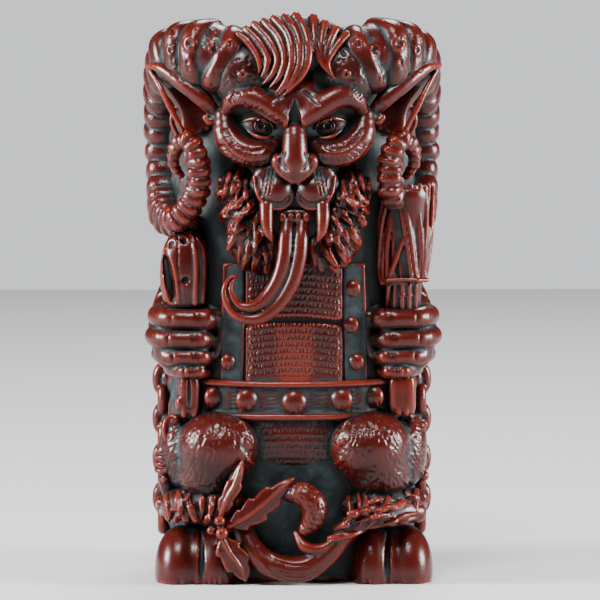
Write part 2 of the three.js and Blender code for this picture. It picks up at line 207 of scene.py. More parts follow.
def around(degrees, z, off=0.0):
    """Point on the wall at an angle round it, 90 being the viewer's right, `off` out from it."""
    angle = math.radians(degrees)
    distance = reach(angle, off)
    return np.array([distance * math.sin(angle), -distance * math.cos(angle), z])


def bend(points, count):
    """A smooth line through the points, in `count` even steps of the spline."""
    points = np.asarray(points, float)
    ends = np.vstack([2 * points[0] - points[1], points, 2 * points[-1] - points[-2]])
    at = np.linspace(0, len(points) - 1, count)
    k = np.minimum(at.astype(int), len(points) - 2)
    t = (at - k)[:, None]
    a, b, c, d = (ends[k + i] for i in range(4))
    return 0.5 * (2 * b + (c - a) * t + (2 * a - 5 * b + 4 * c - d) * t**2 + (3 * b - a - 3 * c + d) * t**3)


def taper(radii, count):
    """Radii spread evenly along a line of `count` points."""
    return np.interp(np.linspace(0, len(radii) - 1, count), np.arange(len(radii)), radii)


def rod(path, radii, flat=1.0):
    """A tapered rope of clay. `flat` below 1 presses it towards the wall."""
    path = np.asarray(path, float)
    radii = np.broadcast_to(np.asarray(radii, float), (len(path),))

    def distance(x, y, z, margin):
        found = np.full((x.size, y.size, z.size), AIR, np.float32)
        for a, b, ra, rb in zip(path, path[1:], radii, radii[1:]):
            around_it = max(ra, rb) + margin
            cut = [slice(*np.searchsorted(w.ravel(), (min(p, q) - around_it, max(p, q) + around_it)))
                   for w, p, q in zip((x, y, z), a, b)]
            u = x[cut[0]] - a[0]
            v = y[:, cut[1]] - a[1]
            w = z[:, :, cut[2]] - a[2]
            if 0 in (u.size, v.size, w.size):
                continue
            along = b - a
            length = max(float(along @ along), 1e-9)
            t = np.clip((u * along[0] + v * along[1] + w * along[2]) / length, 0, 1)
            u, v, w = u - t * along[0], v - t * along[1], w - t * along[2]
            square = u * u + v * v + w * w
            if flat != 1.0:
                out = np.array([(a[0] + b[0]) * 0.6, a[1] + b[1], 0])
                out -= along * (out @ along) / length
                out /= np.linalg.norm(out) + 1e-9
                square = square + (u * out[0] + v * out[1] + w * out[2]) ** 2 * (1 / flat**2 - 1)
            near = np.sqrt(square) - (ra + t * (rb - ra))
            part = found[cut[0], cut[1], cut[2]]
            np.minimum(part, near, out=part)
        return found

    size = radii.max()
    return path.min(0) - size, path.max(0) + size, distance


def column(low, high, off):
    """The mug's own plan, `off` out from the wall, between two heights."""
    def distance(x, y, z, margin):
        k = ((np.abs(x) / (HALF_WIDTH + off)) ** SQUARENESS
             + (np.abs(y) / (HALF_DEPTH + off)) ** SQUARENESS) ** (1 / SQUARENESS)
        sideways = np.hypot(x, y) * (k - 1) / np.maximum(k, 1e-3)
        return np.maximum(sideways, np.maximum(low - z, z - high))

    size = np.array([HALF_WIDTH + off, HALF_DEPTH + off])
    return np.array([*-size, low]), np.array([*size, high]), distance


class Clay:
    """Clay in a box of little cells, in mm: each cell holds its distance to the clay's skin."""

    def __init__(self, low, high, cell):
        self.cell = cell * 1
        self.low = np.asarray(low, float)
        count = np.ceil((np.asarray(high, float) - self.low) / self.cell).astype(int) + 1
        self.axes = [self.low[i] + self.cell * np.arange(count[i]) for i in range(3)]
        self.field = np.full(count, AIR, np.float32)

    def work(self, shape, blend, join):
        low, high, distance = shape
        margin = blend + 2.5 * self.cell
        cut = [slice(*np.searchsorted(a, (l - margin, h + margin))) for a, l, h in zip(self.axes, low, high)]
        x, y, z = (a[c].astype(np.float32) for a, c in zip(self.axes, cut))
        if 0 in (x.size, y.size, z.size):
            return self
        part = self.field[cut[0], cut[1], cut[2]]
        part[...] = join(part, distance(x[:, None, None], y[None, :, None], z[None, None, :], margin))
        return self

    def add(self, shape, blend=0.0):
        """Press a shape on, its edges smoothed over `blend` mm."""
        def join(a, b):
            mix = np.maximum(blend - np.abs(a - b), 0) if blend else 0
            return np.minimum(a, b) - (mix * mix * 0.25 / blend if blend else 0)
        return self.work(shape, blend, join)

    def cut(self, shape, blend=0.0):
        """Carve a shape out, its edges smoothed over `blend` mm."""
        def join(a, b):
            mix = np.maximum(blend - np.abs(a + b), 0) if blend else 0
            return np.maximum(a, -b) + (mix * mix * 0.25 / blend if blend else 0)
        return self.work(shape, blend, join)

    def trim(self, axis, low=-999.0, high=999.0):
        """Slice the clay off flat below `low` and above `high` along an axis."""
        shape = [1, 1, 1]
        shape[axis] = -1
        at = self.axes[axis].astype(np.float32).reshape(shape)
        self.field = np.maximum(self.field, np.maximum(low - at, at - high))
        return self

    def press(self, low, high, pattern):
        """Move the skin out by pattern(x, y, z) mm inside a box."""
        cut = [slice(*np.searchsorted(a, (l, h))) for a, l, h in zip(self.axes, low, high)]
        x, y, z = (a[c].astype(np.float32) for a, c in zip(self.axes, cut))
        self.field[cut[0], cut[1], cut[2]] -= pattern(x[:, None, None], y[None, :, None], z[None, None, :])
        return self

    def probe(self, points):
        """Distances at any points, between cells."""
        at = (np.asarray(points) - self.low) / self.cell
        top = np.array(self.field.shape) - 1.001
        at = np.clip(at, 0, top)
        k = at.astype(int)
        t = at - k
        total = 0
        for dx in (0, 1):
            for dy in (0, 1):
                for dz in (0, 1):
                    weight = (np.abs(1 - dx - t[:, 0]) * np.abs(1 - dy - t[:, 1]) * np.abs(1 - dz - t[:, 2]))
                    total = total + weight * self.field[k[:, 0] + dx, k[:, 1] + dy, k[:, 2] + dz]
        return total

    def land(self, points, toward):
        """Where rays from the points, going `toward`, first meet the skin, and which of them never do."""
        span = (np.array(self.field.shape) * self.cell).max()
        gone = np.zeros(len(points))
        going = np.ones(len(points), bool)
        for _ in range(int(2 * span / self.cell)):
            d = self.probe(points + toward * gone[:, None])
            going &= d > 0
            if not going.any():
                break
            gone[going] += np.clip(d[going], 0.35, 1.2) * self.cell
        return points + toward * gone[:, None], going

    def trace(self, paths, radii, lift=0.0, winding=False, carve=False, blend=0.0, flat=1.0):
        """Ropes, or grooves, laid on the skin along paths drawn from the front as (across, up), or
        with `winding` as (degrees round the mug, up). `lift` runs from the path's start to its end."""
        paths = [np.asarray(path, float) for path in paths]
        every = np.vstack(paths)
        if winding:
            start = np.array([around(a, z, 16) for a, z in every])
            ray = start * (-1, -1, 0)
        else:
            start = np.column_stack([every[:, 0], np.full(len(every), self.low[1]), every[:, 1]])
            ray = np.broadcast_to((0.0, 1.0, 0.0), start.shape)
        ray = ray / np.linalg.norm(ray, axis=1, keepdims=True)
        met, missed = self.land(start, ray)
        at = 0
        for path in paths:
            part = slice(at, at + len(path))
            at += len(path)
            rise = taper(np.atleast_1d(lift), len(path))[:, None]
            thick = taper(np.atleast_1d(radii), len(path))
            good = ~missed[part]
            if good.sum() > 1:
                shape = rod((met[part] - ray[part] * rise)[good], thick[good], flat)
                (self.cut if carve else self.add)(shape, blend)
        return self

    def score(self, paths, radii, lift=0.0, **how):
        """Grooves instead of ropes."""
        return self.trace(paths, radii, lift, carve=True, **how)


inside = column(FLOOR + 6, CROWN + 10, -WALL + 0.8)


def blurred(block, half):
    """A block of cells, each turned into the mean of its neighbours within `half` cells, twice over."""
    for axis in (0, 1, 2, 0, 1, 2):
        edge = [(0, 0)] * 3
        edge[axis] = (half + 1, half)
        total = np.cumsum(np.pad(block, edge, "edge"), axis=axis, dtype=np.float32)
        upper = [slice(None)] * 3
        lower = [slice(None)] * 3
        upper[axis] = slice(2 * half + 1, None)
        lower[axis] = slice(None, -2 * half - 1)
        block = (total[tuple(upper)] - total[tuple(lower)]) / (2 * half + 1)
    return block


# Everything that is shaped is also noted in one block of space round the whole mug, because the
# dark wash gathers, and the painted shade darkens, by how shut in a place is, and neighbours shut it in too.
whole = Clay((-56, -62, -3), (56, 46, CROWN + 3), 0.5)
whole.field[...] = 0
shaped = []


def fire(clay, name, nodes, glaze, spare=24):
    """Turn the clay into a mesh piece that stands for its CAD nodes, leaving out loose crumbs."""
    field = clay.field
    for axis in range(3):
        for end in (0, -1):
            face = [slice(None)] * 3
            face[axis] = end
            field[tuple(face)] = np.maximum(field[tuple(face)], clay.cell)
    grid = openvdb.FloatGrid(AIR)
    grid.copyFromArray(field)
    points, quads = grid.convertToQuads(0.0)
    quads = quads.astype(np.int64)
    label = np.arange(len(points))
    while True:
        least = label[quads].min(axis=1)
        before = label.copy()
        for k in range(4):
            np.minimum.at(label, quads[:, k], least)
        label = label[label]
        if (label == before).all():
            break
    count = np.bincount(label, minlength=len(points))
    keep = count[label] > max(spare, 0.02 * count.max())
    order = np.cumsum(keep) - 1
    quads = order[quads[keep[quads[:, 0]]]]
    points = points[keep].astype(float) * clay.cell + clay.low
    a, b, c, d = (points[quads[:, k]] for k in range(4))
    if (np.cross(c - a, d - b) * (a + b + c + d)).sum() < 0:
        quads = quads[:, ::-1]

    mesh = bpy.data.meshes.new(name)
    mesh.from_pydata((points / 1000).tolist(), [], quads.tolist())
    mesh.polygons.foreach_set("use_smooth", np.ones(len(quads), bool))
    mesh.materials.append(glaze)
    curl = blurred(field, 1) - field
    holder = Clay.__new__(Clay)
    holder.cell, holder.low, holder.field = clay.cell, clay.low, curl
    crease = -holder.probe(points) / clay.cell**2
    mesh.attributes.new("crease", "FLOAT", "POINT").data.foreach_set("value", crease.astype(np.float32))

    piece = bpy.data.objects.new(name, mesh)
    bpy.context.collection.objects.link(piece)
    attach(piece, "root")
    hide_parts(*nodes)

    cut = [slice(*np.searchsorted(w, (a[0], a[-1]))) for w, a in zip(whole.axes, clay.axes)]
    steps = [(w[c] - a[0]) / clay.cell for w, c, a in zip(whole.axes, cut, clay.axes)]
    for axis, at in enumerate(steps):
        k = np.minimum(at.astype(int), field.shape[axis] - 2)
        share = (at - k).reshape([-1 if i == axis else 1 for i in range(3)]).astype(np.float32)
        field = np.take(field, k, axis) * (1 - share) + np.take(field, k + 1, axis) * share
    solid = np.clip(0.5 - field / whole.cell, 0, 1)
    part = whole.field[cut[0], cut[1], cut[2]]
    np.maximum(part, solid, out=part)
    shaped.append((piece, points))
    return piece


RED = (0.046, 0.0028, 0.0013, 1)
# darker red: partly random patches of tone, partly painted shade in shut-in places
RED_DARK_AND_SHADED = (0.014, 0.0009, 0.0005, 1)
# bright red of the high edges: glaze wiped clean there, and brightened further as a painted highlight
RED_RUBBED_AND_HIGHLIT = (0.14, 0.015, 0.008, 1)
DUSK = (0.0025, 0.0065, 0.0085, 1)
DUSK_PALE = (0.02, 0.04, 0.046, 1)
# near black: the dark wash, deepened to black as painted shade in the deepest hollows
WASH_AND_SHADE_BLACK = (0.0003, 0.0008, 0.0011, 1)


def glaze(name, grain=0.12, pits=0.0, wash=0.0):
    """Red glaze wiped back over the wash, with painted shade in the hollows and a painted highlight on
    the high edges. `grain` is the clay's tooth, `wash` leaves more of it on and adds painted black shade.
    """
    made = bpy.data.materials.new(name)
    made.use_nodes = True
    tree = made.node_tree
    skin = tree.nodes["Principled BSDF"]
    wet = Wet(tree)
    crease, near, mid, wide = (wet.node("ShaderNodeAttribute", {"attribute_name": word}, out="Fac")
                               for word in ("crease", "near", "mid", "wide"))
    cloud = wet.noise(60, 4)
    tooth = wet.noise(900, 2)
    # how shut in a place is sets where the wash stays; the same measures also drive the painted shade and
    # highlight below
    shut = crease * 0.55 + near * 1.5 + mid * 1.5 + wide * 0.75 + (cloud - 0.5) * 0.35 + (tooth - 0.5) * 0.3
    washed = (shut + wash).within(-0.04, 0.4)
    # where the hollows are deepest the colour turns black: partly the dark wash, partly painted shade
    deep = (near * 0.5 + mid * 1.3 + wide * 1.5 + wash * 0.4).within(0.16, 0.68)
    # high, convex edges: wiped clean of the wash, and lit up as a painted highlight
    rubbed = (crease * -0.9 + near * -1.2 + (tooth - 0.5) * 0.3).within(0.25, 1.0)
    # darker red in random patches, and as painted shade where the surface is shut in wide around
    patchy_and_shaded = (cloud * 1.0 + wide * -0.6).within(0.3, 0.75)
    red = wet.stir(patchy_and_shaded, RED_DARK_AND_SHADED, RED)
    red = wet.stir(rubbed * 0.75, red, RED_RUBBED_AND_HIGHLIT)
    # the wash is paler in random patches and, as painted shade, darker where it is shut in wide around
    dusk = wet.stir((wet.noise(240, 3) - wide * 0.3).within(0.42, 0.85), DUSK, DUSK_PALE)
    colour = wet.stir(washed, red, dusk)
    colour = wet.stir(deep, colour, WASH_AND_SHADE_BLACK)
    tree.links.new(colour.socket, skin.inputs["Base Color"])
    rough = 0.29 + washed * 0.29 + (tooth - 0.5) * 0.1 - rubbed * 0.04
    tree.links.new(rough.socket, skin.inputs["Roughness"])
    skin.inputs["Specular IOR Level"].default_value = 0.36
    height = wet.noise(1400, 3) * grain + wet.noise(260, 2) * (grain * 1.2)
    if pits:
        place = wet.node("ShaderNodeTexCoord", out="Object")
        spots = wet.node("ShaderNodeTexVoronoi", {}, {"Vector": place, "Scale": 620.0})
        height = height - (0.34 - spots).within(0.0, 0.3) * pits
    bump = wet.node("ShaderNodeBump", {}, {"Strength": 0.5, "Distance": 0.0004, "Height": height})
    tree.links.new(bump.socket, skin.inputs["Normal"])
    return made


skin_glaze = glaze("red glaze on skin", grain=0.12, pits=0.15)
hair_glaze = glaze("red glaze on hair", grain=0.2)
horn_glaze = glaze("red glaze on horn", grain=0.16, pits=0.3)
eye_glaze = glaze("red glaze on eyes", grain=0.05, wash=0.52)
wall_glaze = glaze("wash on the wall", grain=0.3, wash=0.92)
ear_glaze = glaze("red glaze on ears", grain=0.12, wash=0.12)
loin_glaze = glaze("thin red glaze on the loins", grain=0.2, wash=0.2)
belt_glaze = glaze("rubbed wash on leather", grain=0.25, wash=0.08)

cup = Clay((-HALF_WIDTH - 4, -HALF_DEPTH - 4, -2), (HALF_WIDTH + 4, HALF_DEPTH + 4, RIM + 2), 1.1)
EDGE_ROUND = 1.6
cup.add(column(EDGE_ROUND, RIM - EDGE_ROUND, -EDGE_ROUND))
cup.field -= EDGE_ROUND
cup.cut(column(FLOOR, RIM + 20, -WALL), 1.5)
flank = np.random.default_rng(3)
for side in (-1, 1):
    for row in range(19):
        for k in range(8):
            angle = 50 + k * 8 + 4 * (row % 2) + flank.normal(0, 1)
            z = 16 + row * 7.6 + flank.normal(0, 1.2)
            lean = flank.uniform(1, 5)
            if 80 < angle < 104 and z < 76:
                continue
            wisp = [(side * angle, z), (side * (angle + lean * 0.2), z - 4), (side * (angle + lean), z - 9)]
            cup.trace([bend(wisp, 8)], [0.8, 1.7, 1.5, 0.5], [-1.1, -0.5, -0.1, 0], winding=True, blend=0.5)
fire(cup, "mug_cup", ["cup"], wall_glaze)

# ---------------------------------------------------------------- the face
# The face is a mask of clay pressed on the front wall: a round forehead, heavy cheeks and a hollow
# for the mouth. The forehead is pricked all over with a point, the cheeks are combed with a knife.
rng = np.random.default_rng(7)


def turned(turn):
    """The rotation matrix of three turns in degrees."""
    return np.array(Euler([math.radians(v) for v in turn]).to_matrix())


def ball(centre, radii, turn=(0, 0, 0), power=2.0):
    """An egg of clay, boxier as `power` rises above 2."""
    centre = np.asarray(centre, float)
    radii = np.broadcast_to(np.asarray(radii, float), (3,))
    matrix = turned(turn) if np.ndim(turn) == 1 else turn
    size = np.sqrt((matrix**2) @ (radii**2)) * (1 if power == 2 else 1.3)

    def distance(x, y, z, margin):
        p = [x - centre[0], y - centre[1], z - centre[2]]
        q = [(p[0] * matrix[0, i] + p[1] * matrix[1, i] + p[2] * matrix[2, i]) / radii[i] for i in range(3)]
        if power == 2:
            k = np.sqrt(q[0] ** 2 + q[1] ** 2 + q[2] ** 2)
            slope = np.sqrt((q[0] / radii[0]) ** 2 + (q[1] / radii[1]) ** 2 + (q[2] / radii[2]) ** 2)
            return k * (k - 1) / np.maximum(slope, 1e-6)
        k = sum(np.abs(v) ** power for v in q) ** (1 / power)
        reached = np.sqrt(p[0] ** 2 + p[1] ** 2 + p[2] ** 2)
        return reached * (k - 1) / np.maximum(k, 1e-3)

    return centre - size, centre + size, distance


def rolled(points, radii, count, shift=(0, 0, 0)):
    """A rope of clay along a smooth line through the points, its radii spread along it."""
    return rod(bend(points, count) + shift, taper(radii, count))


def mirrored(side, path):
    """A path drawn for the viewer's right, turned over for the left when side is -1."""
    return [(side * p[0], *p[1:]) for p in path]


def combed(path, length, lean, count, jitter=0.35):
    """`count` short strokes across a line, `length` mm long and `lean` degrees off its normal."""
    line = bend(path, count)
    way = np.gradient(line, axis=0)
    way /= np.linalg.norm(way, axis=1, keepdims=True)
    strokes = []
    for point, (dx, dz) in zip(line, way):
        angle = math.atan2(dz, dx) + math.radians(90 + lean + rng.normal(0, 7))
        reach_out = length * (1 + jitter * rng.uniform(-1, 1))
        tip = point + reach_out * np.array([math.cos(angle), math.sin(angle)])
        strokes.append(np.array([point, (point + tip) / 2, tip]))
    return strokes


face = Clay((-31, -50, 111), (31, -22, 184), 0.46)
face.add(ball((0, -27, 155), (27.5, 16.5, 27)))
face.add(ball((0, -29, 128), (22, 13.2, 20)), 6)
face.cut(ball((0, -50, 121.5), (8.2, 9, 5.2)), 2)
for side in (-1, 1):
    face.add(ball((side * 17.4, -37.4, 170.4), (10, 8.4, 11), (0, side * -20, 0)), 3)
    face.cut(ball((side * 11.8, -47.3, 152.6), (6.8, 6.0, 4.8), (0, side * -8, 0)), 2.5)
    cheek = mirrored(side, [(23.4, -39.0, 156.4), (22.2, -41.0, 149.6), (17.2, -43.6, 144.9),
                            (11, -44.9, 144.2),
                            (7.4, -44.2, 146.2)])
    face.add(rolled(cheek, [3.2, 4.7, 5.0, 4.2, 2.4], 12, (0, 0.9, 0)), 3.6)
    face.cut(rolled(mirrored(side, [(11.5, -47.4, 139.4), (15.5, -45.8, 138.8), (21.5, -43, 141.4)]),
                    [0.4, 1.0, 1.0], 10), 1.6)
    for depth, path in ((0.75, [(9.6, 141.9), (14.5, 141.3), (20, 143.3), (23.5, 147)]),
                        (0.6, [(10.6, 146), (15, 145.6), (19.6, 147.6), (22.6, 152)])):
        strokes = combed(mirrored(side, path), 1.9, side * 25, 15)
        face.score(strokes, [0.5, 0.4, 0.2], 0.02, blend=0.2)
    for _ in range(60):
        x, z = side * rng.uniform(10, 24), rng.uniform(166.5, 181)
        if (abs(x) / 27) ** 2 + ((z - 160) / 23) ** 2 < 1:
            face.score([[(x, z), (x + rng.normal(0, 0.5), z - rng.uniform(0.3, 1.1))]],
                       rng.uniform(0.18, 0.32), 0.02, blend=0.25)
    wart = side * 17.2
    ring = [(wart + 0.95 * math.cos(a), 170.7 + 0.95 * math.sin(a)) for a in np.linspace(0, 2 * math.pi, 12)]
    face.trace([ring], 0.42, 0.1, blend=0.3)
    face.score([[(wart, 170.7), (wart + 0.01, 170.6)]], 0.55, 0, blend=0.2)
face.cut(inside)
fire(face, "mask_face", ["face"], skin_glaze)

# ---------------------------------------------------------------- the eyes
# Each eyeball is an almond of clay with three rings cut round the pupil, set in under heavy lids.
SIDES = ((-1, "left"), (1, "right"))
for side, word in SIDES:
    seat = np.array([side * 11.6, 0, 152.2])
    eye = Clay((seat[0] - 8, -47, 147), (seat[0] + 8, -34, 159), 0.24)
    eye.add(ball((seat[0], -38.4, 152.6), (6.5, 4.8, 3.9), (0, side * -14, 0)))
    for bow in (2.7, -3.1):
        lid = mirrored(side, [(5.0, -41.2, 150.4), (8.2, -43.2, 151.9 + bow * 0.86),
                              (13, -43.2, 153.1 + bow),
                              (18.2, -39.4, 154.3)])
        eye.add(rolled(lid, [0.35, 0.75, 0.75, 0.4], 14), 0.3)
    pupil = (seat[0] - side * 0.7, 153.3)
    for ring_size, wide_cut in ((2.75, 0.36), (1.75, 0.34), (0.5, 0.8)):
        ring = [(pupil[0] + ring_size * math.cos(a), pupil[1] + ring_size * 1.02 * math.sin(a))
                for a in np.linspace(0, 2 * math.pi, 22)]
        eye.score([ring], wide_cut, 0.05, blend=0.15)
    fire(eye, "eyeball_" + word, ["eye_" + word], eye_glaze)

# ---------------------------------------------------------------- the brow
# One thick roll of clay like a bird's two wings, frowning into the root of the nose. Short hairs are
# flicked out of both its edges with a needle.
brow = Clay((-26, -52, 149), (26, -36, 169), 0.42)
for side in (-1, 1):
    wing = mirrored(side, [(22.4, -40.4, 158.4), (20.2, -42.3, 162), (15.6, -43.9, 163.4),
                           (10.6, -45.2, 161.3),
                           (6.2, -46.2, 158), (3.0, -46.6, 155.4)])
    brow.add(rolled(wing, [2.0, 3.4, 4.1, 4.0, 3.5, 2.4], 20), 1.8)
    brow.add(ball((side * 5.6, -42.8, 161.2), (6, 4.2, 5.4)), 2.5)
brow.add(ball((0, -42.3, 161), (7.5, 4.6, 7.2)), 3)
brow.add(ball((0, -41, 165.5), (9, 3.8, 4)), 2.5)
brow.add(ball((0, -42.6, 156.2), (4.6, 3.4, 4.4)), 1.5)
for side in (-1, 1):
    low_edge = mirrored(side, [(20.5, 158.3), (16.5, 159.3), (11.5, 157.7), (7, 155), (4.6, 153.6)])
    brow.score(combed(low_edge, 2.0, side * 18, 22), [0.5, 0.42, 0.2], 0.0, blend=0.2)
    top_edge = mirrored(side, [(21.6, 162.3), (18.6, 166.2), (15, 167.2), (10.5, 166.3), (7.5, 165)])
    brow.score(combed(top_edge, -2.0, side * 12, 20), [0.5, 0.42, 0.2], 0.0, blend=0.2)
    middle_hairs = mirrored(side, [(3.4, 164.8), (5.6, 162.6), (7.6, 161)])
    brow.score(combed(middle_hairs, 1.5, side * -70, 7), [0.36, 0.3, 0.2], 0.0, blend=0.2)
    frown = mirrored(side, [(0.6, 160), (0.9, 157), (1.6, 153)])
    brow.score([bend(frown, 6)], [0.35, 0.7, 0.9], 0.1, blend=0.7)
brow.cut(rod([(0, -47, 162), (0, -48, 157.5), (0, -48.4, 153), (0, -48, 150)], [0.5, 1.3, 2.3, 2.6]), 0.8)
fire(brow, "brow_roll", ["brow"], skin_glaze)

# ---------------------------------------------------------------- the nose
# A broad lion's nose, thumbed out of one lump, with curled wings and a pointed lip under the tip.
nose = Clay((-10, -54, 132), (10, -38, 156), 0.40)
bridge = [(0, -43.2, 154.2), (0, -45.8, 151), (0, -47.0, 147), (0, -47.6, 143.5)]
nose.add(rolled(bridge, [2.5, 3.8, 4.2, 4.4], 10))
nose.add(ball((0, -48.2, 140.4), (4.6, 3.6, 4.0)), 1.8)
nose.add(ball((0, -47, 137.4), (3.4, 2.8, 3.0)), 1.4)
for side in (-1, 1):
    nose.add(ball((side * 5.3, -46.4, 142), (2.5, 2.5, 2.5)), 0.9)
    wing = mirrored(side, [(6.2, -46.2, 142.6), (6.0, -46.6, 140.6), (3.6, -47.6, 137.8),
                           (0.8, -48.2, 135.6)])
    nose.add(rolled(wing, [1.5, 1.6, 1.6, 1.2], 10), 0.8)
    nostril = mirrored(side, [(2.3, -50.8, 139.2), (3.7, -50.2, 140.3), (4.9, -49.4, 140.8)])
    nose.cut(rod(bend(nostril, 6), [0.3, 0.7, 0.8, 0.8, 0.6, 0.3]), 0.7)
    crease = mirrored(side, [(3.2, -50.3, 144.6), (4.4, -49, 142.8), (4.3, -49.6, 141.4)])
    nose.cut(rod(bend(crease, 6), [0.2, 0.4, 0.5, 0.5, 0.4, 0.3]), 0.8)
fire(nose, "lion_nose", ["nose"], skin_glaze)

# ---------------------------------------------------------------- the muzzle
# Two plump upper lips with a rolled rim, parted under the nose, each dotted with whisker roots.
muzzle = Clay((-17, -52, 120), (17, -34, 143), 0.40)
for side in (-1, 1):
    muzzle.add(ball((side * 6.7, -42, 131.6), (7.0, 5.9, 6.6), (0, side * 20, 0)))
    muzzle.add(rolled(mirrored(side, [(6, -43.4, 139), (10.4, -42.6, 137.5), (12.8, -41.4, 133.5)]),
                      [2.6, 3.0, 2.4], 8), 2)
for side in (-1, 1):
    lip = mirrored(side, [(13.4, 136.5), (12.2, 130.8), (8.6, 126.9), (4.4, 126.2), (1.2, 128.4),
                          (0.75, 131.5)])
    muzzle.trace([bend(lip, 22)], [0.5, 0.8, 0.9, 0.8, 0.5], 0.15, blend=0.5)
    lip_groove = mirrored(side, [(11.9, 136), (10.9, 131.4), (8.2, 128.4), (4.6, 127.8), (2.2, 129.6)])
    muzzle.score([bend(lip_groove, 16)], [0.25, 0.4, 0.4, 0.2], 0.05, blend=0.5)
    for row in range(3):
        for k in range(6):
            x, z = 7.0 + row * 1.25 + k * 0.28, 138.6 - k * 1.45 - row * 0.25
            dash = mirrored(side, [(x - 0.25, z + 0.45), (x + 0.3, z - 0.5)])
            muzzle.score([dash], 0.36, 0.0, blend=0.25)
muzzle.cut(rod([(0, -49, 134), (0, -49.6, 129), (0, -48.5, 124)], [0.5, 0.7, 1.0]), 0.8)
fire(muzzle, "muzzle_lips", ["muzzle"], skin_glaze)

# ---------------------------------------------------------------- the teeth
# Four small upper teeth in a row between two long curved fangs that hang over the lower lip.


def side_clay(side, low, high, cell):
    """A block of clay on one side, its corners given for the viewer's right."""
    left, right = sorted((side * low[0], side * high[0]))
    return Clay((left, *low[1:]), (right, *high[1:]), cell)


teeth = Clay((-7, -48, 119), (7, -40, 126.5), 0.24)
for x in (-3.95, -1.35, 1.35, 3.95):
    teeth.add(ball((x, -44.2, 122.9), (1.25, 1.5, 1.75), power=2.6))
teeth.add(rod([(-5.2, -43.2, 124.6), (5.2, -43.2, 124.6)], [1.1, 1.1]), 0.4)
fire(teeth, "upper_tooth_row", ["upper_teeth"], skin_glaze)
for side, word in SIDES:
    fang = side_clay(side, (5, -52, 112.6), (12.5, -40, 129), 0.28)
    tooth_line = mirrored(side, [(9.4, -45.2, 127), (9.4, -46.6, 122.6), (8.9, -47.4, 118.4),
                                 (7.5, -47.2, 115.2)])
    fang.add(rolled(tooth_line, [2.4, 2.2, 1.6, 0.4], 12))
    fang.add(rolled(tooth_line, [2.0, 1.9, 1.3, 0.4], 12, (0, 2.6, 0)), 0.3)
    fire(fang, "fang_" + word + "_tooth", ["fang_" + word], skin_glaze)

# ---------------------------------------------------------------- the tongue
# A long strap of clay pulled out of the mouth, folded along its middle and curled up at the tip.
tongue = Clay((-26, -54, 84), (8, -38, 125), 0.46)
strap = np.array([(0, -43, 121), (-0.4, -45.5, 117), (-1, -47, 110), (-3.2, -47.4, 102), (-7.6, -47.4, 95.2),
                  (-13.4, -47.4, 91.4), (-19.4, -47.3, 92.6), (-22.4, -47, 98), (-21.4, -46.6, 102.2),
                  (-19.2, -46.2, 103.4)])
tongue_line = bend(strap, 46)
tongue_wide = taper([4.9, 4.9, 4.8, 4.7, 4.4, 4.1, 3.0, 2.1, 1.3, 0.8], 46)
tongue_way = np.gradient(tongue_line[:, [0, 2]], axis=0)
tongue_way /= np.linalg.norm(tongue_way, axis=1, keepdims=True)
tongue_side = np.column_stack([tongue_way[:, 1], np.zeros(46), -tongue_way[:, 0]])
tongue.add(rod(tongue_line, tongue_wide * 0.5))
for back in (2.4, 4.8):
    tongue.add(rod(tongue_line + (0, back, 0), tongue_wide * 0.66), 0.4)
for edge in (-1, 1):
    tongue.add(rod(tongue_line + tongue_side * (edge * tongue_wide * 0.53)[:, None] + (0, -0.5, 0),
                   tongue_wide * 0.5), 0.4)
tongue.cut(rod(tongue_line - (0, 1, 0) * (tongue_wide * 0.5)[:, None], tongue_wide * 0.1 + 0.18), 0.3)
tongue.cut(rod(tongue_line - (0, 1, 0) * (tongue_wide * 0.22)[:, None], tongue_wide * 0.07 + 0.12), 0.2)
fire(tongue, "tongue_strap", ["tongue"], skin_glaze)

# ---------------------------------------------------------------- the beard
# Rows of pointed locks, laid from the outside in so that each row hangs over the one before. A lock
# is one flattened rope of clay that narrows to a point, with a groove scored along it.


def lock(clay, root, way, length, wide, sway=0.0):
    """One lock drawn from the front: `way` is degrees from straight down, and it bends by `sway`."""
    t = np.linspace(0, 1, 9)
    angle = np.radians(way + sway * t)
    steps = np.column_stack([np.sin(angle), -np.cos(angle)]) * (length / 8)
    centre = np.asarray(root, float) + np.cumsum(steps, axis=0) - steps[0]
    across = np.column_stack([np.cos(angle), np.sin(angle)])
    clay.trace([centre], np.array([0.75, 1.1, 1.0, 0.62, 0.1]) * wide / 2, [-0.6, 0.3, 0.8, 0.9, 0.7],
               flat=0.8)
    score = centre + across * (0.12 * wide * (1 - t) ** 0.6)[:, None]
    clay.score([score[1:8]], [0.1, 0.26, 0.22, 0.1], 0.0, blend=0.35)


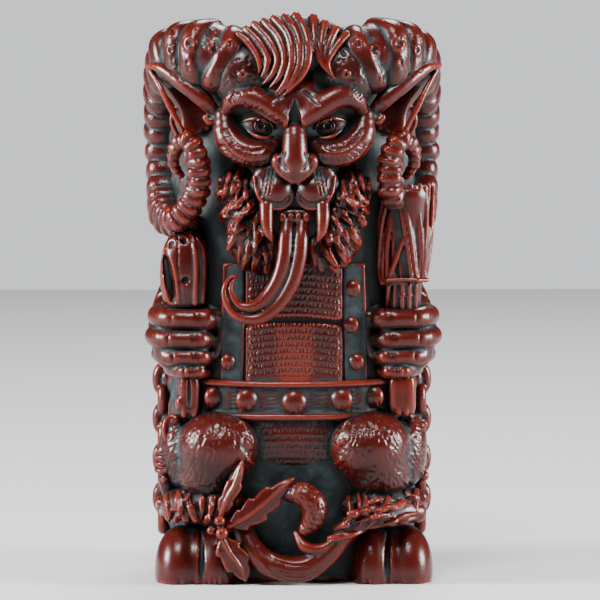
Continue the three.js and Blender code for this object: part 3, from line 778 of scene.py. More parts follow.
for side, word in SIDES:
    beard = side_clay(side, (0.5, -51, 94), (31, -28, 146), 0.44)
    beard.add(ball((side * 16, -33, 127), (9.6, 8.2, 13.5), (0, side * 14, 0)))
    beard.add(ball((side * 12.5, -35, 113.6), (9, 6.2, 10.5), (0, side * 30, 0)), 4)
    for wide_row, deep_row, first, last, count, length in (
            (18.2, 24.4, 10, 104, 11, 14.5), (17.2, 20.6, 18, 106, 10, 14), (15.4, 16.4, 24, 104, 9, 13),
            (13.6, 12.4, 34, 102, 8, 11), (12, 9.2, 46, 96, 5, 8.5)):
        for turn in np.linspace(first, last, count):
            turn += rng.normal(0, 1.6)
            angle = math.radians(turn)
            root = (side * wide_row * math.sin(angle), 131 - deep_row * math.cos(angle))
            way = -4 + turn * 0.62 + rng.normal(0, 4)
            length_here = length * rng.uniform(0.85, 1.2)
            bow = side * rng.uniform(-34, -6) if rng.random() < 0.7 else side * rng.uniform(10, 40)
            lock(beard, root, side * way, length_here, rng.uniform(2.3, 3.1), bow)
    for path in ([(13.0, 138.6), (15.4, 136), (16.4, 131.4), (15.0, 126.4)],
                 [(19.4, 141.6), (23.0, 139), (24.9, 134), (25.4, 127.6)],
                 [(17.2, 141), (20.6, 138.2), (22.6, 133), (24.2, 127)],
                 [(14.8, 140.4), (18.2, 137.8), (20.6, 132), (22.6, 125.4)],
                 [(12.6, 140), (16.4, 138), (18.8, 132.4), (19.6, 125.6)]):
        beard.trace([bend(mirrored(side, path), 14)], [0.25, 1.0, 1.15, 0.85, 0.2],
                    [-0.6, 0.5, 0.9, 0.9, 0.6], blend=0.2)
    beard.cut(inside)
    fire(beard, "beard_locks_" + word, ["beard_" + word], hair_glaze)

# ---------------------------------------------------------------- the forelock
# Hair combed forward from the rim over the forehead: thick ropes that narrow to a point, swept to
# the left in one lock, with a smaller lock parted off to the right.
HAIR_DEPTH = ((163, -46.4), (170, -46.4), (176, -45.2), (182, -42.8), (187, -39.4), (190.5, -36))


def combed_forward(path, count=16):
    """A line drawn from the front, given the depth of the hair at each height."""
    line = bend(path, count - 1)
    depth = np.interp(line[:, 1], [z for z, _ in HAIR_DEPTH], [y for _, y in HAIR_DEPTH])
    line = np.column_stack([line[:, 0], depth + np.abs(line[:, 0]) * 0.1, line[:, 1] - 0.6])
    behind = line[0] + (0, 3.2, -2.4)
    return np.vstack([behind, line])


forelock = Clay((-23, -52, 160), (23, -27, 192.5), 0.46)
forelock.add(ball((0, -34.5, 178), (16.5, 7.2, 11)))
forelock.add(ball((0, -34.5, 182), (18.5, 4.6, 6.8)), 3)
sweep = [np.array(path, float) for path in (
    [(-18.4, 184.2), (-15, 181.6), (-12.4, 177.6), (-11.5, 174.5), (-12.0, 171.7)],
    [(-13, 187.4), (-8, 182), (-5.6, 176.5), (-7.2, 171.7), (-10.5, 168.3)],
    [(-6.5, 189.3), (-2, 184.1), (-0.8, 176.5), (-2.4, 170.4), (-6.2, 165)],
    [(0.6, 190.2), (3.4, 184.8), (4.6, 177.6), (2.4, 171), (-4.6, 164.2)])]
for share in np.linspace(0, 3, 7):
    k = min(int(share), 2)
    path = sweep[k] + (sweep[k + 1] - sweep[k]) * (share - k)
    path[-1] += (0, rng.uniform(-0.7, 0.7))
    strand = combed_forward(path) + (0, -0.9 - 0.5 * (share / 3), 0)
    forelock.add(rod(strand, taper([1.5, 1.7, 1.45, 1.15, 0.3], 16)))
parted = [np.array(path, float) for path in (
    [(6.4, 189.6), (6.4, 184.8), (7.2, 179.3), (9.4, 174.2), (13.4, 169.8)],
    [(17.4, 184), (14.6, 181.4), (12, 177.6), (11, 174.4), (12.8, 170.4)])]
for share in (1, 0.67, 0.34, 0):
    path = parted[0] + (parted[1] - parted[0]) * share
    forelock.add(rod(combed_forward(path) + (0, -0.8, 0), taper([1.5, 1.6, 1.2, 0.9, 0.3], 16)))
for x, tilt in ((-20, -2), (-16.5, -1.5), (19.6, 2.4), (16.8, 1.2)):
    stray = [(x, -29.5, 184.5), (x + tilt * 0.3, -34, 184), (x + tilt, -37.5, 180),
             (x + tilt * 1.5, -38.5, 176)]
    forelock.add(rolled(stray, [1.2, 1.4, 1.0, 0.4], 8), 0.3)
forelock.cut(inside)
fire(forelock, "hair_forelock", ["forelock"], hair_glaze)

# ---------------------------------------------------------------- the ears
# Long pointed ears rolled from a triangle of clay: a thick upper rim, a thin lower one, a deep
# hollow between them and a small curled lobe where they join the head.
for side, word in SIDES:
    ear = side_clay(side, (22.5, -43.5, 145), (51, -18, 176.5), 0.55)
    for base in ((26.4, -31, 155.4), (29, -30.8, 152.4), (32.4, -30.4, 151), (35.6, -30, 151)):
        blade = mirrored(side, [base, (37.8, -28, 161.4), (46.6, -25, 171)])
        ear.add(rolled(blade, [2.0, 1.7, 0.8], 8), 2)
    upper_rim = mirrored(side, [(26.2, -36.4, 157.4), (30.4, -37.2, 162), (37, -35.2, 167.2),
                                (43.8, -30.6, 171.6),
                                (49, -26, 172.6)])
    ear.add(rolled(upper_rim, [2.0, 3.0, 2.9, 2.1, 0.7], 14), 0.6)
    lower_rim = mirrored(side, [(48.8, -26, 172.2), (44.6, -30.6, 165.6), (41, -33, 158.4),
                                (37, -34.4, 151.4)])
    ear.add(rolled(lower_rim, [0.7, 1.0, 1.05, 0.8], 12), 0.5)
    lobe = mirrored(side, [(26.4, -36.8, 158.6), (25.8, -37.2, 155.6), (27.8, -37.4, 154.4),
                           (29.4, -37.2, 155.8)])
    ear.add(rolled(lobe, [1.5, 1.6, 1.5, 1.2], 8), 0.5)
    ear.add(rod(bend(mirrored(side, [(40, -29, 158), (40.6, -29, 153.6), (38.8, -29, 149.6)]), 6),
                [0.9] * 6), 0.5)
    for _ in range(5):
        x = rng.uniform(31, 43)
        ear.score([mirrored(side, [(x, 151.8 + x * 0.45), (x + 1.6, 152.3 + x * 0.45)])], 0.25, 0, blend=0.2)
    ear.cut(inside)
    fire(ear, "pointed_ear_" + word, ["ear_" + word], ear_glaze)

# ---------------------------------------------------------------- the horns
# Ram's horns in three stretches: big crescents with warts at the root, then even rings down the
# side of the mug, then a tight ribbed curl that comes forward beside the face.
FULL_TURN = 6.2832


def front(x, z, off=0.0):
    """Point on the front wall at x across, z up, standing `off` out from it."""
    share = min(abs(x) / HALF_WIDTH, 0.97)
    return np.array([x, -HALF_DEPTH * (1 - share**SQUARENESS) ** (1 / SQUARENESS) - off, z])


def facing(way):
    """The rotation matrix that points an egg's third radius along a direction."""
    return np.array(Vector(way).to_track_quat("Z", "Y").to_matrix())


def ringed(clay, path, radii, pitches, plump):
    """A horn: a rope of clay with a fat disc for each ring, `pitches` giving each ring's length."""
    line = bend(path, 240)
    step = np.linalg.norm(np.diff(line, axis=0), axis=1)
    run = np.concatenate([[0], np.cumsum(step)])
    thick = taper(radii, 240)
    clay.add(rod(line[::6], thick[::6] * 0.87))
    at = 0.0
    for pitch, fat in zip(pitches, np.broadcast_to(plump, len(pitches))):
        mid = at + pitch / 2
        at += pitch
        if mid > run[-1]:
            break
        k = min(int(np.searchsorted(run, mid)), 238)
        size = thick[k] * (1 + rng.normal(0, 0.012))
        clay.add(ball(line[k], (size, size, pitch * fat), facing(line[k + 1] - line[k - 1]), 3.0))
    return line, run, thick


for side, word in SIDES:
    horn = side_clay(side, (13, -45, 111), (51.5, 11, 190.5), 0.62)
    horn_path = [front(side * 20.5, 173.4, -2.8), around(side * 42, 176.2, -0.8),
                 around(side * 60, 174, -0.8),
                 around(side * 78, 163, 0.4), around(side * 87, 148, 0.8), around(side * 84, 133, 1.0),
                 around(side * 70, 122, 2.0), front(side * 36, 119, 6.0)]
    ringed(horn, horn_path, [12.0, 12.5, 11.2, 8.6, 7.9, 7.1, 6.2, 4.6],
           [6.2] * 5 + [6.8] * 7 + [4.4] * 12, [0.84] * 5 + [0.58] * 19)
    for x, z, size in ((21.4, 180.6, 1.2), (26.4, 178.6, 1.4), (34.6, 180.5, 1.7), (35.4, 174.6, 1.0),
                       (41, 178, 1.1)):
        ring = [(side * x + size * math.cos(a), z + size * 1.25 * math.sin(a))
                for a in np.linspace(0, FULL_TURN, 12)]
        horn.trace([ring], 0.5, 0.0, blend=0.4)
        horn.score([[(side * x, z), (side * x + 0.1, z - 0.1)]], size * 0.5, 0.0, blend=0.5)
    for _ in range(26):
        x, z = rng.uniform(19, 44), rng.uniform(163, 186)
        crack = [(side * x, z), (side * (x + rng.normal(0, 0.5)), z - rng.uniform(1, 3.4))]
        horn.score([crack], 0.3, 0, blend=0.3)
    horn.cut(inside)
    fire(horn, "ram_horn_" + word, ["horn_" + word], horn_glaze)

    curl = side_clay(side, (25, -47, 114), (45, -24, 154), 0.51)
    seen_from = [(40, -34.5, 120.6), (35.8, -37, 124.4)] if side < 0 else [(36.6, -28, 125)]
    coil = [(32.3, -38.6, 131), (31.7, -39.6, 138.4), (32.6, -39.9, 145), (36.2, -38.6, 148.6),
            (39.6, -36.4, 145), (40, -34, 140), (37.6, -32, 136)]
    curl_path = mirrored(side, seen_from + coil)
    ringed(curl, curl_path, [4.2, 4.2, 4.0, 3.9, 3.5, 3.0, 2.4, 1.9, 1.3],
           [3.2] * 7 + [3.0] * 5 + [2.6] * 10, 0.62)
    curl.cut(inside)
    fire(curl, "horn_tip_curl_" + word, ["horn_curl_" + word], horn_glaze)

# ---------------------------------------------------------------- the hands
# Heavy fists, four rolled fingers over a thumb, each with its joints pinched in. The forearm runs
# back round the side of the mug and is combed with hair.
for side, word in SIDES:
    hand = side_clay(side, (20, -44, 64), (52, 28, 124), 0.55)
    forearm = mirrored(side, [(40, -24, 80), (42.4, -14, 82), (41.6, -5, 88), (38.6, 2, 97), (36.4, 6, 107)])
    hand.add(rolled(forearm, [7.6, 6.2, 5.9, 5.4, 3.6], 14))
    hand.add(ball((side * 37, -30, 80), (10, 6.5, 10), power=2.6), 2)
    for z, outer, inner, thick in ((88.4, 46.2, 27.2, 3.5), (81.6, 47.2, 28.6, 3.35),
                                   (75.6, 45.6, 28.2, 2.8),
                                   (70.8, 42, 29.4, 2.3)):
        finger = mirrored(side, [(outer - 1.6, -21, z + 0.8), (outer - 0.8, -28, z + 0.3),
                                 (outer - 4.2, -34.2, z),
                                 (36, -36.4, z), (inner + 3, -36, z - 0.2), (inner + 0.4, -33.6, z - 0.4)])
        hand.add(rod(bend(finger, 22), taper([0.9, 1.0, 1.04, 0.93, 1.03, 0.92], 22) * thick), 0.2)
        for bump in (0.36, 0.86):
            spot = bend(finger, 22)[int(bump * 21)]
            hand.add(ball(spot + (0, -0.5, 0.3), (2.0, thick, thick * 0.96)), 0.8)
        for k in (-1, 0, 1):
            x = side * (inner + 4.6 + k * 0.9)
            hand.score([[(x, z + 1.9), (x + side * 0.15, z), (x, z - 1.2)]], [0.2, 0.32, 0.15], 0.05,
                       blend=0.4)
        x = side * (outer - 5.4)
        hand.score([[(x, z + 1.8), (x + side * 0.3, z - 1)]], [0.25, 0.35], 0.05, blend=0.5)
    thumb = mirrored(side, [(27.4, -30, 91), (23.8, -32.4, 88.2), (23.6, -33.4, 82.6), (25.6, -33.6, 76.4)])
    hand.add(rolled(thumb, [2.6, 2.8, 2.3, 1.8], 12), 0.3)
    hand.add(ball((side * 25.4, -33.4, 88.8), (2.9, 2.6, 2.6)), 0.4)
    for row in range(9):
        for k in range(5):
            angle = side * (74 + row * 4.2 + rng.normal(0, 1))
            z = 79 + k * 4.4 + row * 1.4 + rng.normal(0, 0.7)
            tuft = [(angle, z), (angle + side * 2.0, z - 1.6), (angle + side * 3.0, z - 3.6)]
            hand.score([tuft], [0.35, 0.5, 0.15], 0.02, winding=True, blend=0.4)
    for k in range(12):
        first, up = 97 + (k % 3) * 3 + rng.normal(0, 1), 90 + k * 1.5 + rng.normal(0, 0.8)
        swept = [(side * first, up), (side * (first + 5), up + 1.6), (side * (first + 9), up + 0.8),
                 (side * (first + 12), up - 2 + rng.normal(0, 1))]
        hand.trace([bend(swept, 10)], [0.8, 1.6, 1.4, 0.4], [-0.9, -0.3, 0.1, 0], winding=True, blend=0.5)
    hand.cut(inside)
    fire(hand, "fist_and_forearm_" + word, ["hand_" + word], skin_glaze)

# ---------------------------------------------------------------- the strap in the left fist
# A doubled leather strap, flattened like a pod, with stitched ridges down one side and three eyelets.
pod = Clay((-47, -43, 88), (-26, -22, 122), 0.44)
pod.add(ball((-36.6, -31.4, 105), (8.0, 6.4, 13.4), (0, 4, 0), 2.3))
pod.add(ball((-36.4, -31.6, 97), (7.2, 5.6, 6.5), (0, 0, 0), 2.5), 2)
slot = [(-43.2, -34, 110.5), (-42.6, -36.2, 106), (-41.6, -36.8, 100), (-40.4, -36.2, 95)]
pod.cut(rolled(slot, [1.0, 1.9, 2.0, 1.2], 10), 0.5)
pod.cut(rolled(slot, [0.6, 1.3, 1.4, 0.8], 10, (0, 2.4, 0)), 0.3)
for line, thick in (([(-34.6, 117.6), (-33, 112), (-32.6, 104), (-33, 93.6)], 0.9),
                    ([(-32.4, 115.4), (-30.4, 111), (-30, 104), (-30.6, 93.6)], 0.75)):
    pod.trace([bend(line, 14)], [thick * 0.6, thick, thick, thick], 0.25, blend=0.4)
pod.score([bend([(-34.2, 116), (-31.8, 110.5), (-31.3, 104), (-31.8, 94)], 14)], 0.4, 0.1, blend=0.4)
for x, z, size in ((-41, 113.2, 1.15), (-36.8, 114.6, 1.15), (-36.2, 101.4, 1.2)):
    pod.score([[(x, z), (x + 0.1, z)]], size, -0.1, blend=0.3)
pod.score([bend([(-38.8, 117), (-38.6, 106), (-37.4, 94)], 10)], 0.3, 0.05, blend=0.4)
pod.cut(inside)
fire(pod, "strap_pod", ["strap_loop"], skin_glaze)

strap_tail = Clay((-42, -42, 52), (-27, -25, 72), 0.44)
strap_tail.add(ball((-35, -32.4, 62.6), (3.6, 3.8, 7.6), power=4))
strap_tail.trace([[(-36.9, 69.5), (-36.7, 56)], [(-33.2, 69.5), (-33.2, 56)]], 0.85, 0.2, blend=0.3)
strap_tail.score([[(-35.1, 69.5), (-35, 59)]], 0.55, 0.1, blend=0.3)
strap_tail.add(ball((-38, -34.2, 60), (1.7, 2.0, 2.6)), 0.4)
strap_tail.cut(inside)
fire(strap_tail, "strap_hanging_end", ["strap_end"], skin_glaze)

# ---------------------------------------------------------------- the bundle of birch
# A switch of birch twigs in the right fist: twigs rolled one by one and crossed over a dark core,
# tied twice above the hand, with a fluted grip that shows below it.
birch = Clay((25, -43, 88), (50, -18, 135), 0.40)
birch.add(rod([(38.2, -30.6, 129), (37.4, -30.2, 112), (36.4, -29.8, 92)], [7.6, 6.6, 5.8]))
birch.trim(2, high=131.6)
birch.cut(rod([(33.6, -40, 128), (32.4, -39.6, 116), (33.6, -39, 103)], [1.6, 3.6, 3.6]), 0.5)
twigs = [((32.6, 131.8), (29.8, 121), (28.6, 106), (29.4, 100)),
         ((34.6, 132.6), (31.4, 119), (29.8, 106), (30.4, 100)),
         ((34.2, 132), (37, 117), (39.4, 101)), ((35.8, 132.8), (38.6, 117), (40.8, 101)),
         ((37.4, 132.2), (41.4, 101)), ((38.8, 133), (41.6, 116), (41.2, 101)),
         ((40.4, 132.4), (42.4, 116), (42.4, 101)),
         ((42, 133), (41.2, 116), (43, 103)), ((43.6, 132.4), (44.4, 112), (42.4, 101)),
         ((45, 132.8), (43.6, 114), (43.4, 102)), ((46.4, 132), (45.6, 114), (43.8, 101)),
         ((46.2, 121), (42.2, 102)),
         ((31.0, 132), (29.0, 122), (28.2, 108)), ((36.4, 115), (31.4, 100.8))]
for k, twig in enumerate(twigs):
    line = bend(np.array(twig), 14)
    bow = np.sqrt(np.maximum(0.08, 1 - ((line[:, 0] - 37.4) / 9.2) ** 2))
    depth = -30.4 - (6.9 if k in (0, 2, 3, 13) else 6.2) * bow
    birch.add(rod(np.column_stack([line[:, 0], depth, line[:, 1]]), taper([0.8, 0.88, 0.75], 14)), 0.1)
for twig in (((33.4, 126), (31.2, 113), (31.2, 101)), ((34, 124), (33.2, 112), (33.4, 101)),
             ((34.4, 120), (36, 101))):
    line = bend(np.array(twig), 10)
    birch.add(rod(np.column_stack([line[:, 0], np.full(10, -35.8), line[:, 1]]), [0.8] * 10), 0.1)
for z, lift in ((101.2, 0.5), (100.0, 0.35), (95.8, 0.5)):
    birch.trace([[(27.2, z - 0.4), (31, z), (36, z + 0.3), (41, z + 0.2), (44.4, z)]], 0.7, lift, blend=0.15)
for x in (29.5, 31.6, 33.8, 36.2, 38.4, 40.6, 42.4):
    birch.trace([[(x, 99.4), (x - 0.2, 91)]], 0.85, 0.15, blend=0.15)
birch.cut(rod([(30, -44, 134), (46, -44, 134)], [1.6, 1.6]), 0.2)
birch.cut(inside)
fire(birch, "birch_twigs", ["birch_bundle"], hair_glaze)

grip = Clay((28.5, -42, 54), (43, -24, 72), 0.44)
grip.add(ball((36.2, -31.4, 62.8), (4.6, 4.4, 7.2), power=4))
for x in (32.7, 35, 37.4, 39.6):
    grip.trace([[(x, 69.5), (x, 56.6)]], 1.0, 0.15, blend=0.2)
for x in (33.85, 36.2, 38.5):
    grip.score([[(x, 69.5), (x, 56)]], 0.45, 0.1, blend=0.2)
grip.cut(inside)
fire(grip, "birch_grip", ["birch_handle"], hair_glaze)

# ---------------------------------------------------------------- the harness
# A broad leather belt with rolled edges, two shoulder straps and round studs of clay, each stud
# pressed on with slip. The leather between the studs is scored with a fork.
belt = Clay((-34, -46, 52), (34, -20, 71), 0.44)
belt.add(column(55.4, 67.2, 1.5))
belt.trim(0, -31.5, 31.5)
arc = np.linspace(-47, 47, 30)
belt.trace([[(a, 56.0 - 0.4 * math.cos(math.radians(a * 2))) for a in arc],
            [(a, 67.0 - 0.5 * math.cos(math.radians(a * 2))) for a in arc]], 1.15, 0.25, winding=True,
           blend=0.4)
for first, last in ((-43, -35), (-31, -23.5), (-16, -6.5), (6.5, 16), (23.5, 31), (35, 43)):
    for row in range(6):
        z = 58.2 + row * 1.34
        score = [(a, z + rng.normal(0, 0.05)) for a in np.linspace(first + rng.uniform(0, 1),
                                                                   last - rng.uniform(0, 1), 5)]
        belt.score([score], [0.25, 0.42, 0.42, 0.25], 0.02, winding=True, blend=0.25)
belt.cut(inside)
fire(belt, "belt_leather", ["belt"], belt_glaze)

for side, word in SIDES:
    strap = side_clay(side, (14, -44, 64), (30, -26, 116), 0.66)
    strap.add(column(66, 107, 1.4))
    x = np.abs(strap.axes[0])[:, None, None].astype(np.float32)
    z = strap.axes[2][None, None, :].astype(np.float32)
    edge = 16.9 + (z - 68) * -0.02
    strap.field = np.maximum(strap.field, np.maximum(edge - x, x - edge - 7.6))
    strap.trace([bend(mirrored(side, [(24, 67), (23.7, 90), (23.2, 106)]), 12)], 0.5, 0.1, blend=0.5)
    strap.cut(inside)
    fire(strap, "shoulder_strap_" + word, ["harness_strap_" + word], wall_glaze)

for node in ("belt_stud_middle", "belt_stud_left", "belt_stud_right", "belt_stud_outer_left",
             "belt_stud_outer_right",
             "strap_stud_upper", "strap_stud_middle", "strap_stud_lower", "strap_stud_left"):
    low, high = corners(node)
    centre = (low + high) / 2
    size = (high[2] - low[2]) / 2
    stud = Clay(low - 3, high + 3, 0.4)
    seat = front(centre[0], centre[2], 1.2)
    stud.add(ball(seat, (size, size * 0.62, size), (0, 0, -math.degrees(math.asin(centre[0] / 60)))))
    for _ in range(5):
        x = centre[0] + rng.uniform(-0.6, 0.6) * size
        z = centre[2] - rng.uniform(0.1, 0.7) * size
        stud.score([[(x, z), (x + 0.1, z - 1.3)]], 0.2, 0, blend=0.2)
    stud.cut(inside)
    fire(stud, node.replace("_stud", "_button"), [node], skin_glaze)

# ---------------------------------------------------------------- the tunic and the loin pelt
# A knitted-looking tunic of two panels with a seam between them: short upright dashes are printed in
# rows with a comb. Under the belt the same comb marks fade out over the loins.
tunic = Clay((-21, -46, 65), (21, -30, 110), 0.33)
tunic.add(column(66, 87.2, 1.5))
tunic.add(column(88, 107, 1.7))
across = tunic.axes[0][:, None, None].astype(np.float32)
up = tunic.axes[2][None, None, :].astype(np.float32)
arch = up + (across / 17) ** 2 * 2.6
tunic.field = np.maximum(tunic.field, np.abs(across) - 16.6)
seam = np.abs(arch - 88.6)
tunic.field += np.maximum(0, 1.1 - seam) * 0.9
tunic.field += np.maximum(0, np.abs(across) - 14.6) * 0.35


def comb_marks(x, y, z, deep=0.45, wide=1.3, tall=2.2):
    """Short upright dashes in rows, each row half a step aside from the last."""
    height = (z + (x / 17) ** 2 * 1.6 + 0.12 * np.sin(x * 2.1 + z * 0.7)) / tall
    row = np.floor(height)
    share = (x + 0.3 * np.sin(z * 1.9 + x) + 0.2 * np.sin(row * 5.1)) / wide + row * 0.5
    upright = np.clip(np.cos(share * 2 * np.pi) * 1.5 - 0.45, 0, 1)
    dash = upright * np.clip(np.cos((height - row - 0.5) * 2 * np.pi) + 0.65, 0, 1)
    return -deep * dash + 0 * y


tunic.press((-15.6, -46, 69.5), (15.6, -36.4, 106.5), comb_marks)
tunic.trace([bend([(17.2, 66), (16.8, 84), (16.0, 105)], 12),
             bend([(-17.4, 66), (-17.2, 84), (-16.6, 105)], 12)],
            0.75, 0.2, blend=0.3)
tunic.cut(inside)
fire(tunic, "tunic_cloth", ["tunic"], skin_glaze)

loin = Clay((-21, -44, 24), (21, -30, 58), 0.44)
loin.add(ball((0, -30, 48), (25, 8.7, 15)))
loin.trim(2, high=56)
loin.press((-12.6, -44, 32), (12.6, -35, 55),
           lambda x, y, z: comb_marks(x, y, z, 0.42, 1.25, 2.5) * np.clip((z - 31) / 8, 0, 1))
loin.cut(inside)
fire(loin, "loin_fur", ["loin_pelt"], loin_glaze)

# ---------------------------------------------------------------- the knees
# Round knees drawn up in front, with the thigh's outer muscle behind. Fur is picked out of them with
# short strokes that run down from the top.
for side, word in SIDES:
    knee = side_clay(side, (9, -52, 25), (50, -10, 61), 0.46)
    knee.add(ball((side * 25, -34.4, 45.6), (13.4, 12.6, 11.6), (0, side * -6, 0), 2.15))
    knee.add(ball((side * 28.5, -32.6, 36.6), (10.6, 11, 9.4)), 3)
    knee.add(ball((side * 38.6, -25.6, 43), (6.2, 10.5, 12.6), (0, side * 4, 0)), 2.2)
    strokes = []
    for _ in range(560):
        x, z = side * rng.uniform(12.5, 45), rng.uniform(30, 57.5)
        if ((abs(x) - 25.5) / 13.6) ** 2 + ((z - 44) / 13.6) ** 2 > 1 and abs(x) < 36:
            continue
        if ((abs(x) - 25) / 8) ** 2 + ((z - 43) / 7) ** 2 < 1 and rng.random() < 0.75:
            continue
        way = math.atan2((x - side * 25) * 0.9, (60 - z) * 1.1)
        run = rng.uniform(1.0, 2.1)
        strokes.append([(x, z), (x + math.sin(way) * run, z - math.cos(way) * run)])
    knee.score(strokes, [0.33, 0.12], 0.02, blend=0.15)
    for z in (54, 48, 42, 36, 31):
        tuft = mirrored(side, [(15.2 - abs(z - 44) * -0.25, z), (12.8 - abs(z - 44) * -0.3, z - 2.4)])
        knee.trace([tuft], [0.9, 0.25], 0.3, blend=0.4)
    for x, z, size in ((43.6, 52, 1.5), (43.2, 39.4, 1.7), (43.6, 34.6, 1.9)):
        knee.add(ball((side * x, -26, z), (size, size, size)), 0.6)
    knee.cut(inside)
    fire(knee, "furred_knee_" + word, ["knee_" + word], hair_glaze)

# ---------------------------------------------------------------- the hooves
# Cloven hooves, two polished toes to a foot with a deep split, standing flat on the table.
for side, word in SIDES:
    hoof = side_clay(side, (13, -49, -1.5), (49, -8, 30), 0.64)
    hoof.add(ball((side * 37.6, -29.4, 4.0), (8.6, 15, 14.4), (0, 0, side * 8), 2.2))
    hoof.add(ball((side * 25.6, -32, 4.0), (7.4, 12.9, 14.2), (0, 0, side * 3), 2.2))
    hoof.add(ball((side * 31.6, -29, 4), (9, 14.6, 14), power=2.2), 1.5)
    split = [(side * 31.2, -46.5, -2), (side * 31.0, -45.4, 6), (side * 31.0, -42, 13),
             (side * 31.2, -36, 18.5)]
    hoof.cut(rolled(split, [1.4, 1.4, 1.1, 0.5], 12), 0.6)
    hoof.cut(rolled(split, [1.1, 1.1, 0.8, 0.3], 12, (0, 2.2, 0)), 0.3)
    for _ in range(30):
        x = side * rng.uniform(20, 45)
        hoof.score([[(x, 0.4), (x + side * 0.1, rng.uniform(1.4, 4))]], [0.3, 0.12], 0.02, blend=0.3)
    hoof.trim(2, low=0)
    hoof.cut(inside)
    fire(hoof, "cloven_hoof_" + word, ["hoof_" + word], skin_glaze)

    fringe = side_clay(side, (13, -48, 14), (49, -6, 36), 0.46)
    fringe.add(rolled(mirrored(side, [(19, -33.5, 25), (27, -35.6, 26.4), (35, -32.5, 26), (40, -25, 25.4),
                                      (40.6, -14, 25.4)]), [4, 5.6, 5.6, 5, 4], 14))
    for top, drop in ((23.5, 10.0), (27.5, 11.0), (31, 11.0)):
        for x in np.linspace(16, 44, 11):
            x += rng.normal(0, 0.8)
            z = top + rng.normal(0, 0.9)
            way = side * rng.normal(14, 16)
            lock(fringe, (side * x, z), way, drop * rng.uniform(0.75, 1.2), rng.uniform(2.0, 2.9),
                 rng.uniform(-30, 30))
    fringe.cut(inside)
    fire(fringe, "fetlock_fringe_" + word, ["fetlock_" + word], hair_glaze)

# ---------------------------------------------------------------- the holly
# A sprig laid over the foot: saw-edged leaves cut from thin clay with a raised rib, and three berries.


def leaf(clay, path, wide, depth, teeth=3, ribs=5):
    """A saw-edged leaf along a path drawn from the front, `depth` being the depth of both its ends."""
    line = bend(path, 48)
    deep = np.linspace(*depth, 48) - 1.2 * np.sin(np.linspace(0, np.pi, 48))
    spine = np.column_stack([line[:, 0], deep, line[:, 1]])
    way = np.gradient(line, axis=0)
    way /= np.linalg.norm(way, axis=1, keepdims=True)
    across = np.column_stack([way[:, 1], np.zeros(48), -way[:, 0]])
    t = np.linspace(0, 1, 48)
    saw = np.interp((t * teeth) % 1, [0, 0.85, 1], [0.78, 1.12, 0.78])
    half = wide * np.sin(np.pi * np.clip(t, 0.03, 1) ** 0.85) ** 0.7 * saw
    for k in range(len(t)):
        across3, way3 = across[k], np.array([way[k, 0], 0, way[k, 1]])
        frame_here = np.column_stack([across3, (0, 1, 0), way3])
        clay.add(ball(spine[k] + (0, 0.7, 0), (max(half[k], 0.5), 1.0, 0.8), frame_here), 0.35)
    clay.add(rod(spine - (0, 0.35, 0), taper([0.8, 0.7, 0.35], 48)), 0.3)
    for k in np.linspace(5, 38, ribs).astype(int):
        for edge in (-1, 1):
            start = spine[k] + across[k] * edge * 0.95 - (0, 0.7, 0)
            tip = spine[k] + across[k] * edge * half[k] * 0.85 + np.array([way[k, 0], 0, way[k, 1]]) * 1.6
            clay.cut(rod([start, tip - (0, 0.4, 0)], [0.3, 0.2]), 0.3)


long_leaf = Clay((-26, -53, 15), (2, -38, 42), 0.40)
leaf(long_leaf, [(-22.0, 19.8), (-15, 23.6), (-8, 29.4), (-0.6, 35.6)], 4.5, (-45.6, -44.8), 4, 5)
long_leaf.add(rod([(-22, -43, 20), (-12, -40, 26)], [2.4, 3.4]), 1)
fire(long_leaf, "holly_leaf_across", ["holly_leaf_long"], skin_glaze)

low_leaf = Clay((-29, -53, -1), (-12, -38, 20), 0.40)
leaf(low_leaf, [(-24.2, 16.2), (-21.8, 11.4), (-18.2, 6.4), (-16.4, 1.8)], 4.6, (-46.4, -45.4), 3, 4)
low_leaf.add(ball((-20, -42, 9), (4, 4, 6)), 1)
low_leaf.trim(2, low=0.3)
fire(low_leaf, "holly_leaf_down", ["holly_leaf_low"], skin_glaze)

high_leaf = Clay((-30, -53, 19), (-12, -38, 46), 0.40)
leaf(high_leaf, [(-24.8, 23), (-22.6, 29), (-19.6, 35), (-17.6, 41.6)], 2.7, (-45.4, -46.6), 3, 4)
high_leaf.add(rod([(-23, -43, 25), (-19.6, -43.4, 36)], [2.0, 2.2]), 1)
fire(high_leaf, "holly_leaf_up", ["holly_leaf_high"], skin_glaze)

berries = Clay((-32, -54, 12), (-19, -41, 27), 0.33)
for x, y, z, size in ((-25, -47.4, 21.8, 1.8), (-24.3, -48.4, 17.8, 2.1), (-27.8, -46.8, 18.6, 1.5)):
    berries.add(ball((x, y, z), size), 0.1)
    berries.cut(ball((x - 0.2, y - size, z + 0.2), 0.45), 0.2)
berries.add(rod([(-27.4, -45.6, 18.6), (-24.4, -45.8, 17.6), (-24.8, -45.6, 21.6)], [1.2] * 3), 0.3)
fire(berries, "holly_berry_cluster", ["holly_berries"], skin_glaze)

